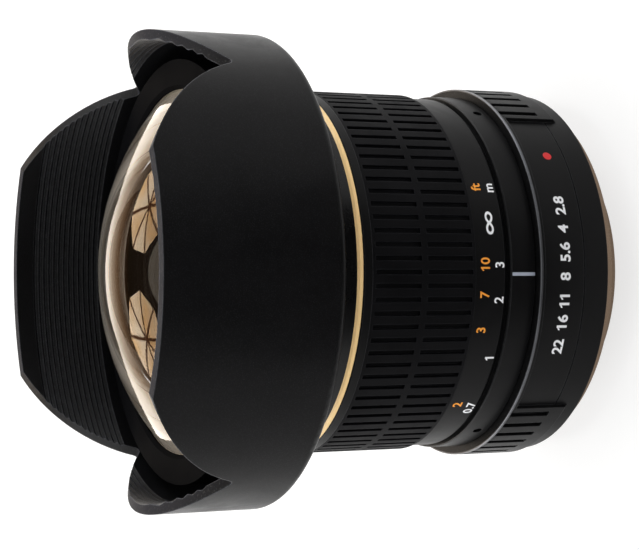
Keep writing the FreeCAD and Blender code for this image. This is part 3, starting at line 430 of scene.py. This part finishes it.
# %% [markdown]
# Coated glass
#
# Glass could be faked with a dark gloss, but this lens is looked into from many sides, so
# it is real refracting glass. Its coating is a thin film, which the Principled shader
# works out from a thickness: an amber one on the front element. The inner elements mirror
# only a little blue or green, as coated glass does. A few motes of dust and the faintest
# smear break up the gloss.

# %% Glass
DUST_IN_GLOSS = 0.1


def glass(name, tint, coating, film=0.0, ior=1.62, smear=0.02):
    """Makes a coated glass; coating tints and weakens its mirror, film is in nanometres."""
    material, tree = new_material(name)
    hands = place_group(tree, handling_group, Smudge_size_mm=14.0)
    gloss = math_node(tree, "MULTIPLY", hands["Smudge"], smear)
    gloss = math_node(tree, "ADD", gloss,
                      math_node(tree, "MULTIPLY", hands["Dust"], DUST_IN_GLOSS))
    shader = add(tree, "ShaderNodeBsdfPrincipled", {
        "Base Color": tint, "Roughness": gloss, "IOR": ior, "Transmission Weight": 1.0,
        "Specular Tint": coating, "Thin Film Thickness": film, "Thin Film IOR": 1.38})
    add(tree, "ShaderNodeOutputMaterial", {"Surface": shader.outputs[0]})
    return material


front_glass = glass("Front element glass", colour(250, 246, 240), (1.0, 1.0, 1.0, 1.0), 80.0)
blue_coated = glass("Blue coated glass", colour(244, 248, 246), (0.06, 0.10, 0.30, 1.0),
                    ior=1.58, smear=0.0)
green_coated = glass("Green coated glass", colour(244, 248, 246), (0.07, 0.22, 0.12, 1.0),
                     ior=1.52, smear=0.0)
print("glass: 3")

# %% [markdown]
# Dress the CAD pieces
#
# Every CAD piece came with one of the record's material slots, named by its material. The
# dictionary gives each slot its finish, and the loop assigns it. Only materials change:
# the meshes stay as they were loaded.

# %% Give every CAD piece its finish
finishes = {
    "mount_metal": mount_metal, "screw_steel": screw_steel, "black_anodised": black_anodised,
    "inner_black": inner_black, "cam_brass": cam_brass, "grip_rubber": grip_rubber,
    "hood_coat": hood_coat, "gold_trim": gold_trim, "baffle_plastic": baffle_plastic,
    "optical_glass": blue_coated, "front_glass": front_glass, "blade_steel": blade_steel,
}
own_finish = {"front_barrel": neck_gloss, "lens_group_3": green_coated,
              "lens_group_6": green_coated, "lens_group_8": green_coated}
dressed = 0
for part in frame["record"]["subparts"]:
    name = part["node"]
    for material_slot in nodes[name].material_slots:
        material_slot.material = own_finish.get(name, finishes[part["material_slot"]])
        dressed += 1
print("material slots dressed:", dressed)

# %% [markdown]
# New pieces
#
# The pieces that this lesson adds are thin: a ring spun round the axis, or paint on a
# ring. Each starts as a bmesh, gets one material, and rides on the body it belongs to.
# Modelling each in its own way would repeat the same last steps, so three helpers take
# them.

# %% Piece helpers
RING_STEPS = 144


def mesh_from(work, name):
    """Turns a bmesh into a mesh and frees it."""
    mesh = bpy.data.meshes.new(name)
    work.to_mesh(mesh)
    work.free()
    return mesh


def add_piece(name, mesh, material, body):
    """Gives a mesh its material and adds it as a piece that rides on a body."""
    mesh.materials.clear()
    mesh.materials.append(material)
    piece = bpy.data.objects.new(name, mesh)
    scene.collection.objects.link(piece)
    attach(piece, body)


def spun_ring(name, profile_mm, material, body):
    """Spins a profile of (radius, height) points, in millimetres, round the axis."""
    work = bmesh.new()
    points = [work.verts.new((r * MM, 0, z * MM)) for r, z in profile_mm]
    edges = [work.edges.new(pair) for pair in zip(points, points[1:])]
    bmesh.ops.spin(work, geom=points + edges, cent=(0, 0, 0), axis=(0, 0, 1),
                   angle=2 * math.pi, steps=RING_STEPS, use_merge=True)
    bmesh.ops.remove_doubles(work, verts=work.verts, dist=WELD)
    bmesh.ops.recalc_face_normals(work, faces=work.faces)
    add_piece(name, mesh_from(work, name), material, body)


print("piece helpers ready")

# %% [markdown]
# The ground rim of the front element
#
# Behind the polished dome the element has a flat, ground rim where it rests in its cell.
# Seen at a low angle, the dome leads the eye round to it, and it shows as a broad beige
# band along the far side of the glass. A rough patch of the glass's own surface would need
# the CAD mesh to be cut. It is a thin matt ring instead, spun from its profile, that lies
# inside the glass just above the seat.

# %% Ground rim
SEAT_Z = 67.92
RIM_INSIDE, RIM_OUTSIDE, RIM_TOP = 26.1, 34.46, 72.1
RIM_FLOOR, RIM_SHEET = SEAT_Z + 0.02, 0.03

ground_glass = finish(
    "Ground glass", colour(250, 240, 226), 0.6, metallic=0.3, specular=0.2, cloud=0.05,
    speck=0.2, speck_colour=colour(226, 212, 194), grain=0.12, grain_depth=0.001, edge=0.05,
    edge_colour=colour(228, 216, 202), edge_wear_and_highlight=0.1)
spun_ring("front_ground_rim", (
    (RIM_INSIDE, RIM_FLOOR), (RIM_OUTSIDE, RIM_FLOOR), (RIM_OUTSIDE, RIM_TOP),
    (RIM_OUTSIDE - RIM_SHEET, RIM_TOP), (RIM_OUTSIDE - RIM_SHEET, RIM_FLOOR + RIM_SHEET),
    (RIM_INSIDE, RIM_FLOOR + RIM_SHEET), (RIM_INSIDE, RIM_FLOOR)), ground_glass, "barrel")
print("ground rim made")

# %% [markdown]
# The baffle behind the front element
#
# Light that crosses the hollow behind the dome would reach the ground rim from inside and
# veil the picture. A thin black cup under the hollow stops it. The cup follows the hollow's
# own sphere a tenth of a millimetre below it and stands on the cell's shoulder, so it is
# one profile of two arcs, spun round the axis.

# %% Front baffle
HOLLOW_CENTRE, HOLLOW_RADIUS = 47.6, 33.0
CUP_OUTSIDE_GAP, CUP_INSIDE_GAP = 0.12, 0.40


def arc_point(radius_mm, gap_mm):
    """A point of the cup's profile: under the hollow by a gap, at a distance from the axis."""
    sphere = HOLLOW_RADIUS - gap_mm
    return (radius_mm, HOLLOW_CENTRE + math.sqrt(sphere ** 2 - radius_mm ** 2))


outside = [arc_point(r, CUP_OUTSIDE_GAP) for r in (17.0, 19.0, 21.0, 23.0, 24.5, 25.6)]
inside = [arc_point(r, CUP_INSIDE_GAP) for r in (24.9, 23.0, 21.0, 19.0, 17.0)]
foot = [(25.8, SEAT_Z + 0.06), (25.8, SEAT_Z + 0.01), (24.9, SEAT_Z + 0.01)]
spun_ring("front_baffle", outside + foot + inside + outside[:1], inner_black, "barrel")
print("front baffle made")

# %% [markdown]
# The bright lip of the aperture ring
#
# The front edge of the aperture ring was turned after the ring was anodised, so its lip is
# bare metal. It mirrors the studio, dark in the middle and light towards both sides.

# %% Aperture ring lip
# The lip's lighter edge colour is partly wear and partly a painted highlight.
lip_metal = finish(
    "Turned lip", colour(84, 85, 88), 0.45, metallic=1.0, cloud=0.25, speck=0.5,
    speck_colour=colour(34, 34, 35), grain=0.2, grain_depth=0.002, turning=0.08,
    turning_depth=0.002, turning_tone=0.4, edge=0.08, edge_colour=colour(180, 182, 186),
    edge_wear_and_highlight=0.12)
lip_profile = ((34.9, 16.14), (35.23, 16.16), (35.23, 16.46), (35.10, 16.62),
               (34.9, 16.62), (34.9, 16.14))
spun_ring("aperture_lip", lip_profile, lip_metal, "aperture_ring")
print("lip made")

# %% [markdown]
# Figures on the rings
#
# The distances and the apertures are engraved and filled with enamel. They could be cut
# into the rings, but a figure is only a few hundredths deep, so each is a thin raised
# piece: a text object gives the outline, its offset makes the stroke bolder, and it is
# turned into a mesh. The mesh is cut into small triangles and then bent round the ring, so
# that it lies on the metal, and its place is in the mesh, as it is for every CAD piece.

# %% Bend a flat mesh round a ring
PAINT_MM, SUNK_MM = 0.04, 0.01
LONGEST_EDGE_MM = 0.7


def wrap(mesh, radius_mm, angle, height_mm):
    """Bends a flat mesh, in metres, round a ring; angle 0 faces -Y and grows towards +X."""
    work = bmesh.new()
    work.from_mesh(mesh)
    bmesh.ops.triangulate(work, faces=work.faces)
    long_edges = [e for e in work.edges if e.calc_length() > LONGEST_EDGE_MM * MM]
    bmesh.ops.subdivide_edges(work, edges=long_edges, cuts=2, use_grid_fill=False)
    bmesh.ops.triangulate(work, faces=work.faces)
    for vertex in work.verts:
        turn = math.radians(angle) + vertex.co.x / (radius_mm * MM)
        reach = radius_mm * MM + vertex.co.z
        vertex.co = Vector((reach * math.sin(turn), -reach * math.cos(turn),
                            height_mm * MM + vertex.co.y))
    bmesh.ops.remove_doubles(work, verts=work.verts, dist=WELD)
    bmesh.ops.recalc_face_normals(work, faces=work.faces)
    work.to_mesh(mesh)
    work.free()


print("wrap ready")

# %% [markdown]
# Enamel
#
# The enamel is matte paint wiped into the engraving: nearly even in colour, a little
# thinner in places, and not quite smooth. It reads better than a flat white, because its
# edges shade.

# %% Enamels
def enamel(name, tone):
    """Makes a fill paint of one colour with thin places."""
    return finish(name, tone, 0.5, specular=0.4, cloud=0.06, speck=0.25,
                  speck_colour=tuple(c * 0.7 for c in tone[:3]) + (1.0,), grain=0.1,
                  edge=0.05, edge_colour=tone, edge_wear_and_highlight=0.2, smudge=0.1)


white_enamel = enamel("White enamel", colour(244, 246, 250))
orange_enamel = enamel("Orange enamel", colour(255, 160, 44))
pale_enamel = enamel("Index enamel", colour(176, 184, 200))
red_enamel = enamel("Red enamel", colour(214, 30, 34))
print("enamels: 4")

# %% [markdown]
# The flag of the figure 1
#
# Blender's own font writes the figure 1 as a plain bar, but the engraved ones have a short
# slanted flag at the top. Another font would have to be read from disk. So every slim,
# upright bar that stands by itself in a figure's mesh gets a flag of four corners. Their
# places are given from the bar's top left corner: across in widths of the bar, down in
# parts of its height.

# %% Give each figure 1 its flag
SLIM_BAR = 0.3
FLAG_CORNERS = ((0.4, 0.0), (-1.0, 0.20), (-1.0, 0.36), (0.4, 0.19))


def islands(work):
    """Lists the groups of vertices that hang together."""
    seen, found = set(), []
    for first in work.verts:
        if first in seen:
            continue
        group, front = [], [first]
        seen.add(first)
        while front:
            vertex = front.pop()
            group.append(vertex)
            for edge in vertex.link_edges:
                other = edge.other_vert(vertex)
                if other not in seen:
                    seen.add(other)
                    front.append(other)
        found.append(group)
    return found


def thicken(work, faces, thickness):
    """Pulls a copy of flat faces up by a thickness and closes the sides."""
    grown = bmesh.ops.extrude_face_region(work, geom=faces)
    raised = [v for v in grown["geom"] if isinstance(v, bmesh.types.BMVert)]
    bmesh.ops.translate(work, verts=raised, vec=(0, 0, thickness))


def flag_ones(mesh):
    """Adds the short slanted flag to every plain upright bar in a flat figure's mesh."""
    work = bmesh.new()
    work.from_mesh(mesh)
    bmesh.ops.remove_doubles(work, verts=work.verts, dist=WELD)
    for group in islands(work):
        xs, ys, zs = ([vertex.co[axis] for vertex in group] for axis in range(3))
        left, top, low = min(xs), max(ys), min(zs)
        bar, tall = max(xs) - left, top - min(ys)
        if bar <= SLIM_BAR * tall:
            flag = work.faces.new([work.verts.new((left + x * bar, top - y * tall, low))
                                   for x, y in FLAG_CORNERS])
            thicken(work, [flag], max(zs) - low)
    work.to_mesh(mesh)
    work.free()


print("flags ready")

# %% [markdown]
# One figure from outline to ring
#
# Every figure takes the same steps, so one function takes them in order: outline, mesh,
# width, flags, centre, bend and paint. The paint is four hundredths thick and sunk by one,
# so that no gap shows under it where the ring's own mesh has flat facets.

# %% Write one figure on a ring
def figure(name, text, size, ring_radius, angle, height, paint, body, bold, wide=1.0):
    """Makes one figure, centred at an angle and height on a ring, in millimetres."""
    curve = bpy.data.curves.new(name, "FONT")
    curve.body = text
    curve.align_x, curve.align_y = "CENTER", "CENTER"
    curve.size = size * MM
    curve.offset = bold * MM
    curve.extrude = PAINT_MM / 2 * MM
    curve.resolution_u = 5
    source_object = bpy.data.objects.new(name + "_outline", curve)
    scene.collection.objects.link(source_object)
    bpy.context.view_layer.update()
    mesh = bpy.data.meshes.new_from_object(
        source_object.evaluated_get(bpy.context.evaluated_depsgraph_get()))
    bpy.data.objects.remove(source_object)
    mesh.transform(Matrix.Diagonal((wide, 1.0, 1.0, 1.0)))
    flag_ones(mesh)
    xs = [v.co.x for v in mesh.vertices]
    ys = [v.co.y for v in mesh.vertices]
    centre = Vector(((min(xs) + max(xs)) / 2, (min(ys) + max(ys)) / 2,
                     (SUNK_MM - PAINT_MM / 2) * MM))
    mesh.transform(Matrix.Translation(-centre))
    wrap(mesh, ring_radius, angle, height)
    add_piece(name, mesh, paint, body)


print("figure ready")

# %% [markdown]
# The distance scale
#
# Two rows on the focus ring: feet in orange towards the grip, metres in white behind them,
# and the sign for infinity between. They turn with the focus ring, so they ride on it.

# %% Distance figures
SCALE_RADIUS = 33.1
SCALE_SIZE, SCALE_BOLD = 2.5, 0.05
INFINITY_ROW, INFINITY_SIZE, INFINITY_BOLD = 25.3, 3.7, 0.03
scale_rows = (
    ("feet_", 26.7, orange_enamel,
     (("ft", 27.1), ("10", 2.4), ("7", -6.9), ("3", -18.1), ("2", -46.4))),
    ("metres_", 23.8, white_enamel,
     (("m", 26.9), ("3", 2.2), ("2", -8.6), ("1", -27.8), ("0.7", -48.2))),
)
for row, row_height, paint, texts in scale_rows:
    for text, angle in texts:
        figure(row + text.replace(".", "_"), text, SCALE_SIZE, SCALE_RADIUS, angle,
               row_height, paint, "focus_ring", SCALE_BOLD)
    print("distance figures:", row, len(texts))
figure("infinity", "∞", INFINITY_SIZE, SCALE_RADIUS, 15.2, INFINITY_ROW, white_enamel,
       "focus_ring", INFINITY_BOLD, wide=1.35)

# %% [markdown]
# The aperture scale
#
# The apertures stand in bold white on the aperture ring and turn with it. They are the
# same kind of figure as the distances, a little larger, wider and bolder.

# %% Aperture figures
APERTURE_RADIUS = 34.5
APERTURE_ROW, APERTURE_SIZE, APERTURE_BOLD = 11.1, 2.8, 0.08
apertures = (("2.8", 20.3), ("4", 13.0), ("5.6", 6.0), ("8", -1.3), ("11", -8.7),
             ("16", -15.2), ("22", -22.9))
for text, angle in apertures:
    figure("aperture_" + text.replace(".", "_"), text, APERTURE_SIZE, APERTURE_RADIUS,
           angle, APERTURE_ROW, white_enamel, "aperture_ring", APERTURE_BOLD, wide=1.05)
print("aperture figures:", len(apertures))

# %% [markdown]
# The index line and the mount dot
#
# The index line is fixed on the ring between the two scales, and a round dot turns with
# the aperture ring. Both are plain patches of enamel, so a grid and a circle are enough.
# They are thickened and bent like the figures.

# %% Index line and mount dot
def painted_patch(name, width_mm, length_mm, ring_radius, angle, height, paint, body,
                  segments=0):
    """Makes a thin painted bar, or with segments a round dot, on a ring."""
    work = bmesh.new()
    if segments:
        bmesh.ops.create_circle(work, cap_ends=True, segments=segments, radius=width_mm / 2)
    else:
        bmesh.ops.create_grid(work, x_segments=4, y_segments=2, size=0.5)
        bmesh.ops.scale(work, vec=(width_mm, length_mm, 1.0), verts=work.verts)
    bmesh.ops.scale(work, vec=(MM, MM, MM), verts=work.verts)
    thicken(work, work.faces[:], PAINT_MM * MM)
    bmesh.ops.translate(work, verts=work.verts, vec=(0, 0, -SUNK_MM * MM))
    mesh = mesh_from(work, name)
    wrap(mesh, ring_radius, angle, height)
    add_piece(name, mesh, paint, body)


INDEX_RADIUS, INDEX_ANGLE, INDEX_ROW = 33.6, -0.6, 19.22
DOT_ANGLE, DOT_ROW = 37.7, 10.6
painted_patch("index_line", 0.6, 4.6, INDEX_RADIUS, INDEX_ANGLE, INDEX_ROW, pale_enamel,
              "barrel")
painted_patch("mount_dot", 1.7, 1.7, APERTURE_RADIUS, DOT_ANGLE, DOT_ROW, red_enamel,
              "aperture_ring", segments=24)
print("index line and dot made")

# %% [markdown]
# Floor and background
#
# The photograph has a white ground with a soft shadow under the mount. The floor is a
# white, matt sheet that takes the lens's shadow. Brighter lamps would bleach the lens too,
# so the white comes from the material: rays from the camera, from gloss and through glass
# also see a little of its own glow, while the light that falls on the lens is left alone.

# %% Floor and world
FLOOR_Z = -5.6 * MM
FLOOR_HALF_WIDTH = 3.0


def seen_rays(tree):
    """A mask that is 1 for rays that see the background: camera, glossy and transmission."""
    path = add(tree, "ShaderNodeLightPath").outputs
    seen = math_node(tree, "MAXIMUM", path["Is Camera Ray"], path["Is Glossy Ray"])
    return math_node(tree, "MAXIMUM", seen, path["Is Transmission Ray"], clamp=True)


floor_material, tree = new_material("White ground")
sheet = add(tree, "ShaderNodeBsdfDiffuse", {"Color": colour(236, 234, 231)})
thin_shade = add(tree, "ShaderNodeBsdfDiffuse", {"Color": colour(168, 167, 165)})
glow = add(tree, "ShaderNodeEmission", {"Color": colour(255, 255, 255), "Strength": 0.72})
seen_sheet = add(tree, "ShaderNodeAddShader", {0: thin_shade.outputs[0], 1: glow.outputs[0]})
lift = add(tree, "ShaderNodeMixShader", {
    0: seen_rays(tree), 1: sheet.outputs[0], 2: seen_sheet.outputs[0]})
add(tree, "ShaderNodeOutputMaterial", {"Surface": lift.outputs[0]})

work = bmesh.new()
bmesh.ops.create_grid(work, x_segments=1, y_segments=1, size=FLOOR_HALF_WIDTH)
bmesh.ops.translate(work, verts=work.verts, vec=(0, 0, FLOOR_Z))
floor = bpy.data.objects.new("floor", mesh_from(work, "floor"))
floor.data.materials.append(floor_material)
scene.collection.objects.link(floor)

world = bpy.data.worlds.new("Studio")
scene.world = world
world.use_nodes = True
tree = world.node_tree
tree.nodes.clear()
around = add(tree, "ShaderNodeBackground", {"Color": colour(236, 236, 238), "Strength": 0.50})
backdrop = add(tree, "ShaderNodeBackground", {"Color": colour(255, 255, 255), "Strength": 1.0})
choose = add(tree, "ShaderNodeMixShader",
             {0: seen_rays(tree), 1: around.outputs[0], 2: backdrop.outputs[0]})
add(tree, "ShaderNodeOutputWorld", {"Surface": choose.outputs[0]})
print("floor at", round(FLOOR_Z, 4))

# %% [markdown]
# Lamps
#
# The lens was lit from both sides of its length by large soft sources, which leave the
# middle dark and draw grey gradients towards both outlines. Two wide area lamps stand
# left and right, a little behind, and a weak one above fills the hood. The one above is
# kept out of mirrors and glass, where it would lie as a white square on the dome.

# %% Lamps
LAMP_AIM_MM = (0, 0, 45)


def area_lamp(name, place_mm, width_mm, depth_mm, power):
    """Adds a rectangular soft lamp aimed at the middle of the lens."""
    lamp = bpy.data.lights.new(name, "AREA")
    lamp.shape = "RECTANGLE"
    lamp.size, lamp.size_y = width_mm * MM, depth_mm * MM
    lamp.energy = power
    holder = bpy.data.objects.new(name, lamp)
    scene.collection.objects.link(holder)
    holder.location = Vector(place_mm) * MM
    aim = Vector(LAMP_AIM_MM) * MM - holder.location
    holder.rotation_euler = aim.to_track_quat("-Z", "Y").to_euler()
    return holder


area_lamp("lamp_right", (750, 250, 350), 700, 500, 4.5)
area_lamp("lamp_left", (-750, 250, 350), 700, 500, 4.5)
above = area_lamp("lamp_above", (0, 150, 900), 600, 600, 6.0)
above.visible_glossy = above.visible_transmission = False
print("lamps: 3")

# %% [markdown]
# What the front element mirrors
#
# The domed glass shows the studio behind the lens as small pictures: two umbrellas with
# their ribs. Painting them on the glass would be wrong from every other side. They are
# cards, out of the camera's sight, that only gloss can see, and each stands where the
# camera's ray bounces off the dome towards it.

# %% Umbrella cards
RIBS = 8
UMBRELLA_AWAY_MM, UMBRELLA_RADIUS_MM = 700, 160


def umbrella_material():
    """Lit cloth between dark ribs; the card's own coordinates run from its hub."""
    material, tree = new_material("Lit umbrella")
    uv = add(tree, "ShaderNodeAttribute", attribute_name="panel").outputs["Vector"]
    axes = add(tree, "ShaderNodeSeparateXYZ", {0: uv}).outputs
    angle = math_node(tree, "ARCTAN2", axes[1], axes[0])
    slice_place = math_node(tree, "FRACT", math_node(
        tree, "ADD", math_node(tree, "MULTIPLY", angle, RIBS / (2 * math.pi)), 2.0 * RIBS))
    from_rib = math_node(tree, "SUBTRACT", 0.5, math_node(
        tree, "ABSOLUTE", math_node(tree, "SUBTRACT", slice_place, 0.5)))
    reach = add(tree, "ShaderNodeVectorMath", {0: uv}, operation="LENGTH").outputs["Value"]
    rib = remap(tree, math_node(tree, "MULTIPLY", from_rib, reach), 0.028, 0.065)
    panel_tone = add(tree, "ShaderNodeTexNoise",
                     {"Vector": uv, "Scale": 1.3, "Detail": 1.0}).outputs[0]
    cloth = blend_colours(tree, remap(tree, panel_tone, 0.35, 0.65),
                          colour(232, 202, 160), colour(250, 244, 234))
    tint = blend_colours(tree, rib, colour(84, 58, 42), cloth)
    glow = add(tree, "ShaderNodeEmission", {"Color": tint, "Strength": 6.8})
    add(tree, "ShaderNodeOutputMaterial", {"Surface": glow.outputs[0]})
    return material


def ray_card(name, work, material, rays="glossy"):
    """Turns a bmesh into a stage card that only one kind of ray can see."""
    card = bpy.data.objects.new(name, mesh_from(work, name))
    card.data.materials.append(material)
    scene.collection.objects.link(card)
    for kind in ("camera", "diffuse", "glossy", "transmission", "volume_scatter", "shadow"):
        setattr(card, "visible_" + kind, kind == rays)
    return card


def umbrella(name, from_mm, direction, spin, material):
    """Places a card that faces the point on the glass where it is mirrored."""
    work = bmesh.new()
    radius = UMBRELLA_RADIUS_MM * MM
    bmesh.ops.create_circle(work, cap_ends=True, segments=RIBS, radius=radius)
    flat = [vertex.co / radius for vertex in work.verts]
    towards = Vector(direction).normalized()
    place = Vector(from_mm) * MM + towards * UMBRELLA_AWAY_MM * MM
    turn = (-towards).to_track_quat("Z", "Y").to_matrix().to_4x4()
    bmesh.ops.transform(work, matrix=Matrix.Translation(place) @ turn @ Matrix.Rotation(
        spin, 4, "Z"), verts=work.verts)
    card = ray_card(name, work, material)
    panel = card.data.attributes.new("panel", "FLOAT_VECTOR", "POINT")
    for index, corner in enumerate(flat):
        panel.data[index].vector = corner


cloth_glow = umbrella_material()
umbrella("umbrella_right", (11.6, -12.3, 81.7), (0.28, 0.68, 0.68), 0.2, cloth_glow)
umbrella("umbrella_left", (-11.8, -11.3, 81.9), (-0.28, 0.71, 0.65), 0.5, cloth_glow)
print("umbrella cards: 2")

# %% [markdown]
# The backdrop behind the lens
#
# The rest of the dome mirrors the studio's far wall, which is bright near the floor,
# brown above it and grey at the top. A world picture could show that, but it would light
# every side. A tall card with a colour ramp over its height, seen by gloss alone, keeps it
# behind the lens.

# %% Backdrop card behind the lens
CARD_WIDTH, CARD_TOP, CARD_Y = 2.6, 1.7, 0.75
card_material, tree = new_material("Backdrop sweep")
place = add(tree, "ShaderNodeTexCoord").outputs["Object"]
height = add(tree, "ShaderNodeSeparateXYZ", {0: place}).outputs[2]
sweep = add(tree, "ShaderNodeValToRGB",
            {0: math_node(tree, "DIVIDE", height, CARD_TOP)})
tones = ((0.0, (252, 248, 242)), (0.15, (246, 239, 230)), (0.20, (186, 170, 154)),
         (0.25, (134, 110, 88)), (0.30, (84, 61, 40)), (0.38, (38, 31, 22)),
         (0.52, (58, 52, 49)), (1.0, (74, 69, 69)))
ramp = sweep.color_ramp
while len(ramp.elements) < len(tones):
    ramp.elements.new(0.5)
for element, (position, tone) in zip(ramp.elements, tones):
    element.position = position
    element.color = colour(*tone)
glow = add(tree, "ShaderNodeEmission", {"Color": sweep.outputs[0], "Strength": 3.4})
add(tree, "ShaderNodeOutputMaterial", {"Surface": glow.outputs[0]})
work = bmesh.new()
bmesh.ops.create_grid(work, x_segments=1, y_segments=1, size=0.5)
bmesh.ops.scale(work, vec=(CARD_WIDTH, CARD_TOP, 1.0), verts=work.verts)
bmesh.ops.rotate(work, cent=(0, 0, 0), matrix=Matrix.Rotation(math.radians(90), 3, "X"),
                 verts=work.verts)
bmesh.ops.translate(work, verts=work.verts, vec=(0, CARD_Y, CARD_TOP / 2))
ray_card("backdrop_card", work, card_material)
print("backdrop tones:", len(tones))

# %% [markdown]
# Two black flags
#
# Black and chromed metal mirror whatever stands in front of them. A photographer lays a
# black flag there, so that the middle of each ring stays deep and only its sides turn
# grey. The first is an oval of black cloth on the floor, seen by gloss alone. The second
# keeps the inside of the glass dark: it is a half-round wall behind the lens that only
# rays which have passed through glass can see, spun from one upright edge.

# %% Black flags
OVAL_HALF_LENGTH, OVAL_NARROWING, OVAL_Y = 0.5, 0.42, -0.555
WALL_RADIUS, WALL_HALF_ANGLE = 0.74, math.radians(80)
FLAG_FOOT = FLOOR_Z + 0.001

flag_material, tree = new_material("Black flag")
cloth = add(tree, "ShaderNodeBsdfDiffuse", {"Color": colour(22, 21, 20)})
add(tree, "ShaderNodeOutputMaterial", {"Surface": cloth.outputs[0]})
work = bmesh.new()
bmesh.ops.create_circle(work, cap_ends=True, segments=24, radius=OVAL_HALF_LENGTH)
bmesh.ops.scale(work, vec=(OVAL_NARROWING, 1.0, 1.0), verts=work.verts)
bmesh.ops.translate(work, verts=work.verts, vec=(0, OVAL_Y, FLAG_FOOT))
ray_card("black_flag", work, flag_material)

work = bmesh.new()
upright = [work.verts.new((WALL_RADIUS * math.sin(WALL_HALF_ANGLE),
                           WALL_RADIUS * math.cos(WALL_HALF_ANGLE), z))
           for z in (FLAG_FOOT, CARD_TOP)]
edge = work.edges.new(upright)
bmesh.ops.spin(work, geom=upright + [edge], cent=(0, 0, 0), axis=(0, 0, 1),
               angle=2 * WALL_HALF_ANGLE, steps=16)
ray_card("glass_flag", work, flag_material, "transmission")
print("flags: 2")
